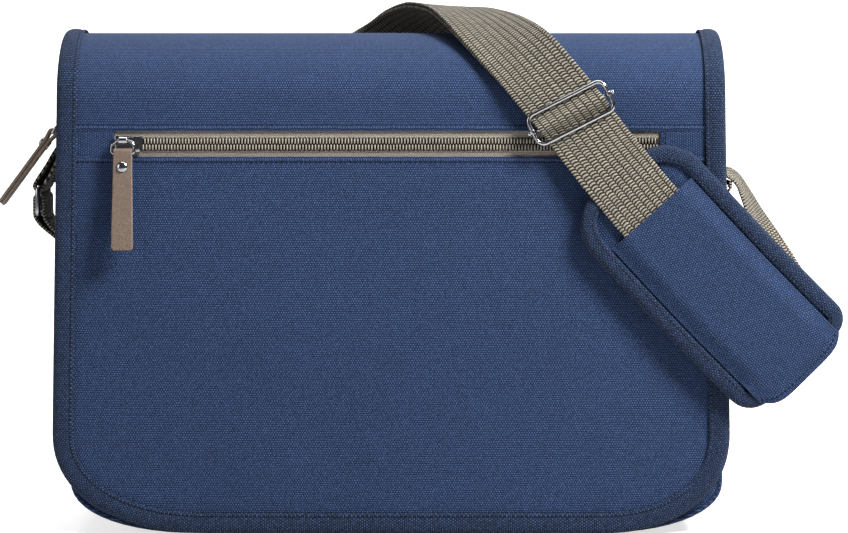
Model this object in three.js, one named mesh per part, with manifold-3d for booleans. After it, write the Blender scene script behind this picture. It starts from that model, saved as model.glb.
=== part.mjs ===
// Shoulder bag: a flat zipped body, a full flap with a zip pocket, and a webbing strap with a pad.
// Millimetres. +X is to the right seen from the front, -Y is the front, +Z is up, z = 0 is the floor.
import * as THREE from 'three';
import { mergeVertices } from 'three/addons/utils/BufferGeometryUtils.js';
import Module from 'manifold-3d';

const wasm = await Module();
wasm.setup();

// Clearance between pieces that lie on each other
const GAP = 0.3;

// Body
const BODY_WIDTH = 371;
const BODY_HEIGHT = 248;
const BODY_SHIFT = 3; // the body sits a little to the right under the flap
const BASE_DEPTH = 104;
const TOP_DEPTH = 90;
const BODY_WALL = 2;
const BODY_BULGE = 5; // how far the faces swell at mid height
const BASE_CORNER = { run: 75, rise: 30, power: 2.2 }; // soft lower corners, seen from the front
const TOP_EDGE_RADIUS = 5;

// Main zip over the top, ending on the left side
const MAIN_ZIP_Y = -16; // forward of the middle, clear of the strap
const MAIN_SLOT = 11;
const MAIN_TAPE = { width: 26, thickness: 1, endZ: 208, rightEndZ: 238 };
const MAIN_COIL_END_Z = 230;
const MAIN_PULL = { hingeZ: 233, tilt: 36.5, length: 53.2 };

// Flap
const FLAP_WIDTH = 384.4;
const FLAP_TAPER = 4.25; // each side narrows this much from the hem to the crest
const FLAP_CLEAR = 2; // from the body's faces to the flap's inner face
const FLAP_SEAM_Z = 230;
const FLAP_SPRING_Z = 244;
const FLAP_RISE = 37;
const FLAP_HEM_Z = 1.5;
const FLAP_CORNER = { leftRun: 88, rightRun: 73, rise: 56, power: 2.2 };
const BACKING_THICKNESS = 1;
const POCKET_SPACE = 1.3;
const FLAP_CLOTH = 1.2;
const BINDING = { width: 10.5, thickness: 1 };

// Pocket zip across the flap
const SLOT_TOP_Z = 229;
const SLOT_BOTTOM_Z = 213.9;
const ZIP_Z = 221.4;
const TAPE = { thickness: 0.8, tuck: 5, halfLength: 177, split: 0.2 };
const COIL = { width: 7, thickness: 2.2, left: -156.9, right: 153.9 };
const END_TAB = { leftFrom: -187, leftTo: -159.4, rightFrom: 154.9, rightTo: 187, thickness: 1 };
const ZIP_SLIDER_X = -150.6;
const POCKET_PULL_LEAN = 7; // degrees that the pull stands off, resting on its slider

// Zip slider and pull, the same on both zips
const SLIDER = { length: 15.6, mouth: 10.4, tail: 8.8, plate: 1.4, flange: 0.9, bevel: 0.25 };
const BAIL = { width: 2.4, radius: 2.5, hole: 1.2, lift: 2.4, along: -3, across: 2.1 };
const PULL_RING = { halfWidth: 6.3, rise: 4.5, drop: 7.5, corner: 1.5, wire: 0.8 };
const PULL_TAB = { length: 57.6, topWidth: 10.2, endWidth: 12, layer: 1.8, corner: 1.2, rivetDrop: 7.7 };
const RIVET = { radius: 3.1, backRadius: 2.8, post: 1.2, dome: 1.4 };

// Strap, its rings and tabs
const STRAP = { width: 40, thickness: 1.8 };
const LAYER_STEP = 2.1; // between the middles of two layers of webbing
const RING = { width: 48, height: 16, corner: 3, wire: 1.5 };
const RING_BAR_Z = { upper: 196.5, lower: 180.5 };
const TAB_END_Z = 125;
const TAB_RISE = 24; // from where a tab leaves the gusset to its ring
const TAB_SLACK = 8.5; // how far a tab's fold stands above the bar it holds
const LEFT_RING_X = -203;
const LEFT_STRAP_LEAN = 30; // degrees that the strap leans in from the left ring
const LEFT_STRAP_OPEN = 20; // length over which its two layers part to pass round the ring

// Strap slider, skewed on the webbing
const BUCKLE = { length: 47.5, height: 18, corner: 4.5, wire: 1.25, rise: 2.6 };
const BUCKLE_BAR = { wire: 1.1, rise: 0.2, eyeLength: 4, eyeWall: 1.1 };
const BUCKLE_SKEW = THREE.MathUtils.degToRad(11.5);
const BUCKLE_HUMP = { height: 5.3, halfLength: 8 };
const BUCKLE_SLANT = { full: 15, none: 60 }; // how far from the bar the webbing's lines are skewed

// Shoulder pad
const PAD = { length: 152.5, width: 79, foam: 4.5, bindingWidth: 9.5 };
const PAD_CORNER = { start: 26, leftEnd: 15, rightEnd: 11.5 };
const PAD_COVER = { from: 30, overhang: 4.8, endBow: 5, cloth: 1.5, liftFrom: 133 };

// The strap's outer layer, from the left ring round the back, over the crest and down the front to
// the pad, then back up to the right ring: the middle of the webbing and the direction across it
const ROUTE_COLUMNS = ['x', 'y', 'z', 'acrossX', 'acrossY', 'acrossZ'];
const STRAP_ROUTE = [
  [-205.34, 0, 197.85, 0, 1, 0],
  [-202.84, 0.2, 202.15, 0, 1, 0],
  [-199.6, 2, 206.3, -0.12, 0.95, -0.3],
  [-196, 6.1, 211.2, -0.22, 0.8, -0.55],
  [-194, 13.6, 216.3, -0.14, 0.62, -0.77],
  [-192.5, 24.4, 221.6, -0.03, 0.45, -0.89],
  [-192.3, 40, 228, 0.03, 0.36, -0.93],
  [-190, 58.5, 233, 0.2, 0.2, -0.96],
  [-170, 62.3, 236.5, 0.16, 0.04, -0.98],
  [-140, 62.5, 238.5, 0.14, 0, -0.99],
  [-105, 62.5, 241.5, 0.16, 0, -0.98],
  [-70, 62.5, 247, 0.24, 0, -0.97],
  [-38, 62, 256, 0.38, 0, -0.92],
  [-10, 57, 270.5, 0.55, 0.12, -0.82],
  [10, 46, 286, 0.62, 0.4, -0.66],
  [24, 28, 296.5, 0.65, 0.66, -0.34],
  [36, 6, 299.5, 0.72, 0.69, -0.02],
  [48, -15, 293.8, 0.85, 0.47, 0.15],
  [61, -35, 283.6, 0.88, 0.24, 0.35],
  [74, -50.5, 271.4, 0.84, 0.06, 0.525],
  [85, -57, 258.5, 0.79, 0, 0.6],
  [101, -59, 239, 0.765, 0, 0.645],
  [112, -60.5, 224.5, 0.76, 0, 0.65],
  [122, -63.5, 211.5, 0.755, 0, 0.655],
  [132, -65.8, 199.5, 0.75, 0, 0.66],
  [146, -66.8, 183, 0.745, 0, 0.665],
  [182, -67.5, 144.5, 0.725, 0, 0.69],
  [206, -67.3, 120, 0.725, 0, 0.69],
  [222, -66.2, 104, 0.72, 0, 0.69],
  [231.3, -64.9, 94.7, 0.71, 0, 0.7],
  [232.7, -63.6, 93.3, 0.71, 0, 0.7],
  [233.3, -60.5, 92.7, 0.72, 0, 0.69],
  [233.6, -50, 92.9, 0.73, 0, 0.68],
  [233.6, -37, 96.5, 0.75, 0.06, 0.65],
  [232.8, -28, 103.6, 0.78, 0.14, 0.58],
  [230.6, -20.4, 116, 0.78, 0.3, 0.5],
  [225.5, -14, 138.5, 0.72, 0.56, 0.3],
  [217.4, -9, 163.5, 0.52, 0.84, 0.1],
  [210.6, -5, 181, 0.31, 0.95, 0.05],
  [205.3, -2, 192.4, 0.18, 0.97, 0.1],
  [201, -1, 199.4, 0.13, 0.98, 0.11],
  [196.2, -0.3, 203.4, 0.1, 0.98, 0.11],
  [192.4, 0, 204.2, 0.05, 1, 0.06],
  [190.2, 0, 202.4, 0, 1, 0.02],
  [189.7, 0, 199.6, 0, 1, 0],
  [189.7, 0, 196.5, 0, 1, 0],
].map((row) => Object.fromEntries(ROUTE_COLUMNS.map((column, i) => [column, row[i]])));
const BUCKLE_ROW = 21; // the row of the route that the strap slider sits on
const PAD_ROW = 22; // the pad starts a little after this row
const PAD_LEAD = 24;

// Finishes
const canvasBlue = { color: 0x374a6d, roughness: 0.85, metalness: 0 };
const bindingNavy = { color: 0x2b3850, roughness: 0.85, metalness: 0 };
const webbingTaupe = { color: 0x7d766a, roughness: 0.8, metalness: 0 };
const tapeTaupe = { color: 0x8c847c, roughness: 0.85, metalness: 0 };
const coilTaupe = { color: 0x655f56, roughness: 0.5, metalness: 0 };
const leatherTaupe = { color: 0x827065, roughness: 0.6, metalness: 0 };
const brightMetal = { color: 0xc9c9c9, roughness: 0.2, metalness: 1 };

const bag = new THREE.Group();

function addPiece(parent, name, geometry, finish) {
  const mesh = new THREE.Mesh(geometry, new THREE.MeshStandardMaterial(finish));
  mesh.name = name;
  parent.add(mesh);
}

// Solids from points

// An indexed triangle mesh, turned so that its faces point outwards
function closedGeometry(points, index) {
  let volume = 0;
  for (let i = 0; i < index.length; i += 3) {
    const [a, b, c] = [points[index[i]], points[index[i + 1]], points[index[i + 2]]];
    volume += a.dot(new THREE.Vector3().crossVectors(b, c));
  }
  if (volume < 0) index.reverse();
  const geometry = new THREE.BufferGeometry().setFromPoints(points);
  geometry.setIndex(index);
  geometry.computeVertexNormals();
  return geometry;
}

// A wall between two faces: point(i, j, side) with side 0 or 1 for the two faces
function wall(columns, rows, point) {
  const points = [];
  const index = [];
  const at = (i, j, side) => (side * (columns + 1) + i) * (rows + 1) + j;
  const quad = (a, b, c, d) => index.push(a, b, c, a, c, d);
  for (const side of [0, 1])
    for (let i = 0; i <= columns; i++)
      for (let j = 0; j <= rows; j++) points.push(point(i, j, side));
  for (let i = 0; i < columns; i++)
    for (let j = 0; j < rows; j++) {
      quad(at(i, j, 1), at(i + 1, j, 1), at(i + 1, j + 1, 1), at(i, j + 1, 1));
      quad(at(i, j + 1, 0), at(i + 1, j + 1, 0), at(i + 1, j, 0), at(i, j, 0));
    }
  for (let i = 0; i < columns; i++) {
    quad(at(i, 0, 0), at(i + 1, 0, 0), at(i + 1, 0, 1), at(i, 0, 1));
    quad(at(i, rows, 1), at(i + 1, rows, 1), at(i + 1, rows, 0), at(i, rows, 0));
  }
  for (let j = 0; j < rows; j++) {
    quad(at(0, j, 1), at(0, j + 1, 1), at(0, j + 1, 0), at(0, j, 0));
    quad(at(columns, j, 0), at(columns, j + 1, 0), at(columns, j + 1, 1), at(columns, j, 1));
  }
  return closedGeometry(points, index);
}

// A section, drawn anticlockwise, carried along stations: place(k, p) puts its point p at station k
function sweep(section, stations, place, closed = false) {
  const points = [];
  const index = [];
  const size = section.length;
  for (let k = 0; k < stations; k++) for (const p of section) points.push(place(k, p));
  const spans = closed ? stations : stations - 1;
  for (let k = 0; k < spans; k++)
    for (let i = 0; i < size; i++) {
      const here = k * size;
      const next = ((k + 1) % stations) * size;
      const j = (i + 1) % size;
      index.push(here + i, next + i, next + j, here + i, next + j, here + j);
    }
  if (!closed) {
    const last = (stations - 1) * size;
    for (const [a, b, c] of THREE.ShapeUtils.triangulateShape(section, []))
      index.push(a, b, c, last + c, last + b, last + a);
  }
  return closedGeometry(points, index);
}

const WIRE_SIDES = 6;
const PULL_RING_STATIONS = 24;
const RING_STATIONS = 28;
const BUCKLE_STATIONS = 36;

function circle(radius, sides) {
  const turn = (2 * Math.PI) / sides;
  return Array.from({ length: sides }, (_, i) => polar(radius, (i + 0.5) * turn));
}

function polar(radius, angle) {
  return new THREE.Vector2(radius * Math.cos(angle), radius * Math.sin(angle));
}

// A round wire along a closed flat path in the X-Z plane
function wireLoop(path, radius, stations) {
  const line = path.getSpacedPoints(stations).slice(0, stations);
  return sweep(
    circle(radius, WIRE_SIDES),
    stations,
    (k, p) => {
      const ahead = line[(k + 1) % stations];
      const behind = line[(k + stations - 1) % stations];
      const t = ahead.clone().sub(behind).normalize();
      return new THREE.Vector3(line[k].x + t.y * p.x, p.y, line[k].y - t.x * p.x);
    },
    true,
  );
}

function roundedRectangle(width, height, corner) {
  const [x, y] = [width / 2, height / 2];
  const quarter = Math.PI / 2;
  const path = new THREE.Path();
  path.moveTo(x, corner - y);
  path.absarc(x - corner, y - corner, corner, 0, quarter);
  path.absarc(corner - x, y - corner, corner, quarter, 2 * quarter);
  path.absarc(corner - x, corner - y, corner, 2 * quarter, 3 * quarter);
  path.absarc(x - corner, corner - y, corner, 3 * quarter, 4 * quarter);
  return path;
}

// Joins and cuts
function solidOf(geometry) {
  const bare = geometry.clone();
  bare.deleteAttribute('normal');
  bare.deleteAttribute('uv');
  const merged = mergeVertices(bare, 1e-4);
  const triVerts = new Uint32Array(merged.index.array);
  const vertProperties = new Float32Array(merged.attributes.position.array);
  return new wasm.Manifold(new wasm.Mesh({ numProp: 3, vertProperties, triVerts }));
}

function geometryOf(solid) {
  const { vertProperties, triVerts } = solid.getMesh();
  const geometry = new THREE.BufferGeometry();
  geometry.setAttribute('position', new THREE.BufferAttribute(vertProperties, 3));
  geometry.setIndex(new THREE.BufferAttribute(triVerts, 1));
  geometry.computeVertexNormals();
  return geometry;
}

// A soft lower corner: how far the outline has risen at a distance past the start of the corner
function cornerRise(past, { run, rise, power }) {
  if (past <= 0) return 0;
  const share = Math.min(past / run, 1);
  return rise * (1 - (1 - share ** power) ** (1 / power));
}

// Body
const halfBody = BODY_WIDTH / 2;
const halfDepth = (z) => THREE.MathUtils.lerp(BASE_DEPTH, TOP_DEPTH, z / BODY_HEIGHT) / 2;

// The swell of the body's faces, which the flap follows
function bulge(x, z) {
  const across = Math.max(1 - ((x - BODY_SHIFT) / halfBody) ** 2, 0);
  const up = Math.sin(Math.PI * THREE.MathUtils.clamp(z / FLAP_SPRING_Z, 0, 1));
  return BODY_BULGE * across * up;
}

// Distances along the lower corner at which an outline is drawn, from its start to its steepest end
function cornerSteps(run, power, count) {
  const angles = Array.from({ length: count }, (_, k) => ((k + 1) / count) * (Math.PI / 2));
  return angles.map((angle) => run * Math.sin(angle) ** (2 / power));
}

const BASE_STEPS = 6;
const MIDDLE_COLUMNS = 6;
const PANEL_ROWS = 5;
const SIDE_ROWS = 4;
const TOP_BEND_STEPS = 4;

// A face of the body, sewn into the gusset's mouth; front is -1, back is 1
function facePanel(side) {
  const inset = BODY_WALL + GAP;
  const half = halfBody - inset;
  const straight = half - BASE_CORNER.run;
  const past = cornerSteps(BASE_CORNER.run, BASE_CORNER.power, BASE_STEPS);
  const right = past.map((step) => straight + step);
  const middle = spread(-straight, straight, MIDDLE_COLUMNS);
  const columns = [...right.map((x) => -x).reverse(), ...middle, ...right];
  const topRadius = TOP_EDGE_RADIUS - inset;
  const topCentre = halfBody - TOP_EDGE_RADIUS;
  return wall(columns.length - 1, PANEL_ROWS, (i, j, face) => {
    const out = Math.abs(columns[i]);
    const low = inset + cornerRise(out - straight, BASE_CORNER);
    const fall = topRadius - Math.sqrt(Math.max(topRadius ** 2 - Math.max(out - topCentre, 0) ** 2, 0));
    const z = THREE.MathUtils.lerp(low, BODY_HEIGHT - inset - fall, j / PANEL_ROWS);
    const x = columns[i] + BODY_SHIFT;
    const depth = halfDepth(z) + bulge(x, z) - face * BODY_WALL;
    return new THREE.Vector3(x, side * depth, z);
  });
}

function spread(from, to, count) {
  return Array.from({ length: count + 1 }, (_, i) => THREE.MathUtils.lerp(from, to, i / count));
}

// The strip round both sides and the base, drawn along its outer line from top left to top right
function gusset() {
  const top = BODY_HEIGHT - TOP_EDGE_RADIUS - GAP;
  const straight = halfBody - BASE_CORNER.run;
  const past = cornerSteps(BASE_CORNER.run, BASE_CORNER.power, BASE_STEPS);
  const sides = spread(BASE_CORNER.rise, top, SIDE_ROWS).slice(1);
  const corner = past.map((step) => [straight + step, cornerRise(step, BASE_CORNER)]);
  const right = [[straight, 0], ...corner, ...sides.map((z) => [halfBody, z])];
  const line = [...right.map(([x, z]) => [-x, z]).reverse(), ...right];
  return wall(line.length - 1, 1, (i, j, face) => {
    const [x, z] = line[i];
    const inward = inwardNormal(line, i);
    const depth = halfDepth(z) * (j === 0 ? -1 : 1);
    const shift = face * BODY_WALL;
    return new THREE.Vector3(x + BODY_SHIFT + inward.x * shift, depth, z + inward.y * shift);
  });
}

// The inward direction of an open outline that runs down the left, along the base and up the right
function inwardNormal(line, i) {
  const [ax, ay] = line[Math.max(i - 1, 0)];
  const [bx, by] = line[Math.min(i + 1, line.length - 1)];
  return new THREE.Vector2(ay - by, bx - ax).normalize();
}

// The line of the body's top, from the left side to the right, raised by lift
function topLine(lift, leftEndZ, rightEndZ) {
  const centre = halfBody - TOP_EDGE_RADIUS;
  const centreZ = BODY_HEIGHT - TOP_EDGE_RADIUS;
  const radius = TOP_EDGE_RADIUS + lift;
  const bend = spread(0, Math.PI / 2, TOP_BEND_STEPS).map((angle) => polar(radius, angle));
  const left = bend.map((p) => [-centre - p.x, centreZ + p.y]);
  const right = bend.map((p) => [centre + p.x, centreZ + p.y]).reverse();
  if (leftEndZ < centreZ) left.unshift([-centre - radius, leftEndZ]);
  if (rightEndZ < centreZ) right.push([centre + radius, rightEndZ]);
  return [...left, ...right];
}

// A strip that follows the body's top, between two depths
function topPiece(lift, thickness, near, far, leftEndZ, rightEndZ) {
  const under = topLine(lift, leftEndZ, rightEndZ);
  const over = topLine(lift + thickness, leftEndZ, rightEndZ);
  return wall(under.length - 1, 1, (i, j, face) => {
    const [x, z] = (face ? over : under)[i];
    return new THREE.Vector3(x + BODY_SHIFT, j === 0 ? near : far, z);
  });
}

const topCentreZ = BODY_HEIGHT - TOP_EDGE_RADIUS;
const halfTop = TOP_DEPTH / 2 - BODY_WALL; // the top is sewn a little inside the faces
const halfSlot = MAIN_SLOT / 2;
const mainCoilLift = GAP + MAIN_TAPE.thickness + GAP;
addPiece(bag, 'gusset', gusset(), canvasBlue);
addPiece(bag, 'front_panel', facePanel(-1), canvasBlue);
addPiece(bag, 'back_panel', facePanel(1), canvasBlue);
for (const [name, near, far] of [
  ['top_strip_front', -halfTop, MAIN_ZIP_Y - halfSlot],
  ['top_strip_back', MAIN_ZIP_Y + halfSlot, halfTop],
])
  addPiece(bag, name, topPiece(-BODY_WALL, BODY_WALL, near, far, topCentreZ, topCentreZ), canvasBlue);
for (const [name, lift, thickness, halfWidth, endZ, finish] of [
  ['main_zip_tape', GAP, MAIN_TAPE.thickness, MAIN_TAPE.width / 2, MAIN_TAPE.endZ, tapeTaupe],
  ['main_zip_coil', mainCoilLift, COIL.thickness, COIL.width / 2, MAIN_COIL_END_Z, coilTaupe],
]) {
  const [near, far] = [MAIN_ZIP_Y - halfWidth, MAIN_ZIP_Y + halfWidth];
  addPiece(bag, name, topPiece(lift, thickness, near, far, endZ, MAIN_TAPE.rightEndZ), finish);
}

// Flap

// The flap's inner face from the side: up from the back seam, over the crest, down to the hem
const flapHalf = halfDepth(FLAP_SPRING_Z) + FLAP_CLEAR;
const flapLine = new THREE.Path();
flapLine.moveTo(halfDepth(FLAP_SEAM_Z) + FLAP_CLEAR, FLAP_SEAM_Z);
flapLine.lineTo(flapHalf, FLAP_SPRING_Z);
flapLine.absellipse(0, FLAP_SPRING_Z, flapHalf, FLAP_RISE, 0, Math.PI, false, 0);
flapLine.lineTo(-halfDepth(FLAP_HEM_Z) - FLAP_CLEAR, FLAP_HEM_Z);
const flapLength = flapLine.getLength();
const frontLength = flapLine.curves[flapLine.curves.length - 1].getLength();
const frontStart = flapLength - frontLength;
const frontSlope = (FLAP_SPRING_Z - FLAP_HEM_Z) / frontLength;
const alongFront = (z) => frontStart + (FLAP_SPRING_Z - z) / frontSlope;
const slotTop = alongFront(SLOT_TOP_Z);
const slotBottom = alongFront(SLOT_BOTTOM_Z);

// Heights of the flap's layers above its inner face
const outerFrom = BACKING_THICKNESS + POCKET_SPACE;
const outerTo = outerFrom + FLAP_CLOTH;
const tapeFrom = BACKING_THICKNESS + GAP;
const tapeTo = tapeFrom + TAPE.thickness;
const coilFrom = tapeTo + GAP;
const coilTo = coilFrom + COIL.thickness;
const bindingReach = BINDING.thickness + GAP;
const flapEdge = FLAP_WIDTH / 2 - bindingReach; // where the cloth ends inside the binding
const hemEdge = flapLength - bindingReach;

// A point of the flap: across it, along it from the back seam, and out from its inner face
function flapPoint(across, along, out) {
  const t = THREE.MathUtils.clamp(along / flapLength, 0, 1);
  const p = flapLine.getPoint(t);
  const tangent = flapLine.getTangent(t);
  const toHem = THREE.MathUtils.clamp((along - frontStart) / frontLength, 0, 1);
  const x = across * (1 - (FLAP_TAPER / flapEdge) * (1 - toHem));
  const reach = out + bulge(x, p.y);
  return new THREE.Vector3(x, p.x + tangent.y * reach, p.y - tangent.x * reach);
}

const CORNER_STEPS = 6;
const flapRun = (side) => (side < 0 ? FLAP_CORNER.leftRun : FLAP_CORNER.rightRun);

// Columns across the flap, close together where its corners turn up
function flapColumns() {
  const corner = (side) =>
    cornerSteps(flapRun(side), FLAP_CORNER.power, CORNER_STEPS).map(
      (step) => side * (flapEdge - flapRun(side) + step),
    );
  const middle = spread(flapRun(-1) - flapEdge, flapEdge - flapRun(1), MIDDLE_COLUMNS);
  return [...corner(-1).reverse(), ...middle, ...corner(1)];
}

function hemRise(across) {
  const run = flapRun(across);
  return cornerRise(Math.abs(across) - (flapEdge - run), { ...FLAP_CORNER, run });
}

const CREST_STEPS = 10;
const FRONT_STEP = 50;

// Rows along the flap between two places, shared by all its layers so that they nest
function flapRows(from, to) {
  const backEnd = flapLine.curves[0].getLength();
  const crest = spread(backEnd, frontStart, CREST_STEPS);
  const front = spread(frontStart, hemEdge, Math.round(frontLength / FRONT_STEP));
  const inside = [...crest, ...front.slice(1)].filter((s) => s > from + 1 && s < to - 1);
  return [from, ...inside, to];
}

// A layer of the flap; where it reaches the hem, its lower corners are rounded
function flapLayer(columns, rows, from, to) {
  const reachesHem = rows[rows.length - 1] === hemEdge;
  return wall(columns.length - 1, rows.length - 1, (i, j, face) => {
    const share = Math.max((rows[j] - slotBottom) / (hemEdge - slotBottom), 0);
    const rise = reachesHem ? hemRise(columns[i]) * share : 0;
    return flapPoint(columns[i], rows[j] - rise, face ? to : from);
  });
}

// The line that the binding folds over, from the back seam down the left side and round to the right
function flapEdgeLine() {
  const rows = flapRows(0, hemEdge - FLAP_CORNER.rise);
  const side = (s) => rows.map((along) => new THREE.Vector2(s * flapEdge, along));
  const hem = flapColumns()
    .slice(1, -1)
    .map((across) => new THREE.Vector2(across, hemEdge - hemRise(across)));
  return [...side(-1), ...hem, ...side(1).reverse()];
}

// The folded tape's section: inward from the edge, and out from the inner face of what it holds
function bindingSection(width, height, thickness) {
  const lip = thickness + GAP;
  return [
    [-lip, -lip],
    [width - lip, -lip],
    [width - lip, -GAP],
    [-GAP, -GAP],
    [-GAP, height + GAP],
    [width - lip, height + GAP],
    [width - lip, height + lip],
    [-lip, height + lip],
  ].map(([x, y]) => new THREE.Vector2(x, y));
}

// A tape folded over an edge that is drawn on a surface
function foldedTape(line, section, surfacePoint, closed) {
  const count = line.length;
  return sweep(
    section,
    count,
    (k, p) => {
      const ahead = line[closed ? (k + 1) % count : Math.min(k + 1, count - 1)];
      const behind = line[closed ? (k + count - 1) % count : Math.max(k - 1, 0)];
      const t = ahead.clone().sub(behind).normalize();
      return surfacePoint(line[k].x + t.y * p.x, line[k].y - t.x * p.x, p.y);
    },
    closed,
  );
}

const columns = flapColumns();
const zipLine = alongFront(ZIP_Z);
const within = (from, to) => [from, ...columns.filter((x) => x > from + 1 && x < to - 1), to];
const tapeColumns = within(-TAPE.halfLength, TAPE.halfLength);
const halfCoil = COIL.width / 2;
addPiece(bag, 'flap_backing', flapLayer(columns, flapRows(0, hemEdge), 0, BACKING_THICKNESS), canvasBlue);
addPiece(bag, 'flap_top', flapLayer(columns, flapRows(0, slotTop), outerFrom, outerTo), canvasBlue);
addPiece(
  bag,
  'flap_pocket',
  flapLayer(columns, flapRows(slotBottom, hemEdge), outerFrom, outerTo),
  canvasBlue,
);
addPiece(
  bag,
  'flap_binding',
  foldedTape(flapEdgeLine(), bindingSection(BINDING.width, outerTo, BINDING.thickness), flapPoint, false),
  bindingNavy,
);
addPiece(
  bag,
  'zip_tape_upper',
  flapLayer(tapeColumns, [slotTop - TAPE.tuck, zipLine - TAPE.split / 2], tapeFrom, tapeTo),
  tapeTaupe,
);
addPiece(
  bag,
  'zip_tape_lower',
  flapLayer(tapeColumns, [zipLine + TAPE.split / 2, slotBottom + TAPE.tuck], tapeFrom, tapeTo),
  tapeTaupe,
);
addPiece(
  bag,
  'zip_coil',
  flapLayer(within(COIL.left, COIL.right), [zipLine - halfCoil, zipLine + halfCoil], coilFrom, coilTo),
  coilTaupe,
);
for (const [name, from, to] of [
  ['zip_end_left', END_TAB.leftFrom, END_TAB.leftTo],
  ['zip_end_right', END_TAB.rightFrom, END_TAB.rightTo],
]) {
  const rows = [slotTop + GAP, slotBottom - GAP];
  addPiece(bag, name, flapLayer(within(from, to), rows, coilFrom, coilFrom + END_TAB.thickness), canvasBlue);
}

// Zip slider, drawn with X along the zip, Y across it and Z out from the face of the tape
function zipSlider(bailAcross, bailTurn) {
  const { length, mouth, tail, plate, flange, bevel } = SLIDER;
  const half = length / 2;
  const outline = new THREE.Shape();
  outline.moveTo(-half, -mouth / 2 + bevel);
  outline.quadraticCurveTo(0, -mouth / 2 + bevel, half, -tail / 2 + bevel);
  outline.lineTo(half, tail / 2 - bevel);
  outline.quadraticCurveTo(0, mouth / 2 - bevel, -half, mouth / 2 - bevel);
  const plateFrom = GAP + COIL.thickness + GAP;
  const cover = new THREE.ExtrudeGeometry(outline, {
    depth: plate - 2 * bevel,
    bevelThickness: bevel,
    bevelSize: bevel,
    bevelSegments: 1,
    curveSegments: 4,
  }).translate(0, 0, plateFrom + bevel);
  let body = solidOf(cover);
  for (const side of [-1, 1]) {
    const depth = plateFrom + plate / 2 - GAP;
    const rail = new THREE.BoxGeometry(length - flange, flange, depth);
    rail.translate(0, side * (tail / 2 - flange / 2), GAP + depth / 2);
    body = body.add(solidOf(rail));
  }
  const loop = bail(plateFrom + plate, bailTurn).translate(BAIL.along, bailAcross, 0);
  return geometryOf(body.add(solidOf(loop)));
}

// The height of the hinge in the slider's bail above the face of the tape
const hingeRise = GAP + COIL.thickness + GAP + SLIDER.plate + BAIL.lift;

// The loop on the slider that the pull's ring hangs in; its hole runs along X, or along Y when turned
function bail(foot, turn) {
  const arch = new THREE.Shape();
  const sunk = foot - SLIDER.plate / 2;
  arch.moveTo(-BAIL.radius, sunk);
  arch.lineTo(BAIL.radius, sunk);
  arch.lineTo(BAIL.radius, hingeRise);
  arch.absarc(0, hingeRise, BAIL.radius, 0, Math.PI, false);
  const hole = new THREE.Path().absarc(0, hingeRise, BAIL.hole, 0, 2 * Math.PI, true);
  arch.holes.push(hole);
  const loop = new THREE.ExtrudeGeometry(arch, {
    depth: BAIL.width,
    bevelEnabled: false,
    curveSegments: 6,
  });
  loop.translate(0, 0, -BAIL.width / 2);
  return loop.rotateX(Math.PI / 2).rotateZ(Math.PI / 2 + turn);
}

// Pull, drawn with its hinge on the X axis, hanging down -Z, its face to -Y

// The D-shaped ring whose upper arc turns in the bail and whose straight bar holds the leather
function pullRing() {
  const { halfWidth, rise, drop, corner, wire } = PULL_RING;
  const path = new THREE.Path();
  path.moveTo(halfWidth, -rise);
  path.absellipse(0, -rise, halfWidth, rise, 0, Math.PI, false, 0);
  path.absarc(corner - halfWidth, corner - drop, corner, Math.PI, 1.5 * Math.PI);
  path.absarc(halfWidth - corner, corner - drop, corner, 1.5 * Math.PI, 2 * Math.PI);
  path.lineTo(halfWidth, -rise);
  return wireLoop(path, wire, PULL_RING_STATIONS);
}

const ringHole = PULL_RING.wire + GAP;
const foldRadius = ringHole + PULL_TAB.layer;
const tabFace = PULL_TAB.layer + GAP / 2;
const tabTop = -PULL_RING.drop + foldRadius;

// One strip of leather folded over the ring's bar and riveted to itself
function pullTab(length) {
  const bar = -PULL_RING.drop;
  const low = tabTop - length;
  const shoulder = bar - 2 * foldRadius;
  const split = GAP / 2;
  const slit = Math.asin(split / ringHole);
  const fold = new THREE.Shape();
  fold.moveTo(split, low);
  fold.lineTo(tabFace, low);
  fold.lineTo(tabFace, shoulder);
  fold.lineTo(foldRadius, bar);
  fold.absarc(0, bar, foldRadius, 0, Math.PI, false);
  fold.lineTo(-tabFace, shoulder);
  fold.lineTo(-tabFace, low);
  fold.lineTo(-split, low);
  fold.absarc(0, bar, ringHole, 1.5 * Math.PI - slit, 1.5 * Math.PI + slit, true);
  const strip = new THREE.ExtrudeGeometry(fold, {
    depth: PULL_TAB.endWidth,
    bevelEnabled: false,
    curveSegments: 5,
  }).translate(0, 0, -PULL_TAB.endWidth / 2);
  strip.applyMatrix4(
    new THREE.Matrix4().makeBasis(
      new THREE.Vector3(0, 1, 0),
      new THREE.Vector3(0, 0, 1),
      new THREE.Vector3(1, 0, 0),
    ),
  );
  const hole = new THREE.CylinderGeometry(RIVET.post + GAP, RIVET.post + GAP, 4 * foldRadius, 12);
  hole.translate(0, 0, bar - PULL_TAB.rivetDrop);
  return geometryOf(solidOf(strip).intersect(solidOf(tabOutline(low))).subtract(solidOf(hole)));
}

// The tab from the front: a little wider at its end, with small round corners
function tabOutline(low) {
  const { topWidth, endWidth, corner } = PULL_TAB;
  const [upper, lower] = [topWidth / 2, endWidth / 2];
  const quarter = Math.PI / 2;
  const outline = new THREE.Shape();
  outline.moveTo(upper, tabTop + 1);
  outline.lineTo(-upper, tabTop + 1);
  outline.lineTo(-lower, low + corner);
  outline.absarc(corner - lower, low + corner, corner, 2 * quarter, 3 * quarter, false);
  outline.absarc(lower - corner, low + corner, corner, 3 * quarter, 4 * quarter, false);
  const depth = 4 * foldRadius;
  const block = new THREE.ExtrudeGeometry(outline, { depth, bevelEnabled: false, curveSegments: 3 });
  return block.translate(0, 0, -depth / 2).rotateX(Math.PI / 2);
}

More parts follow.
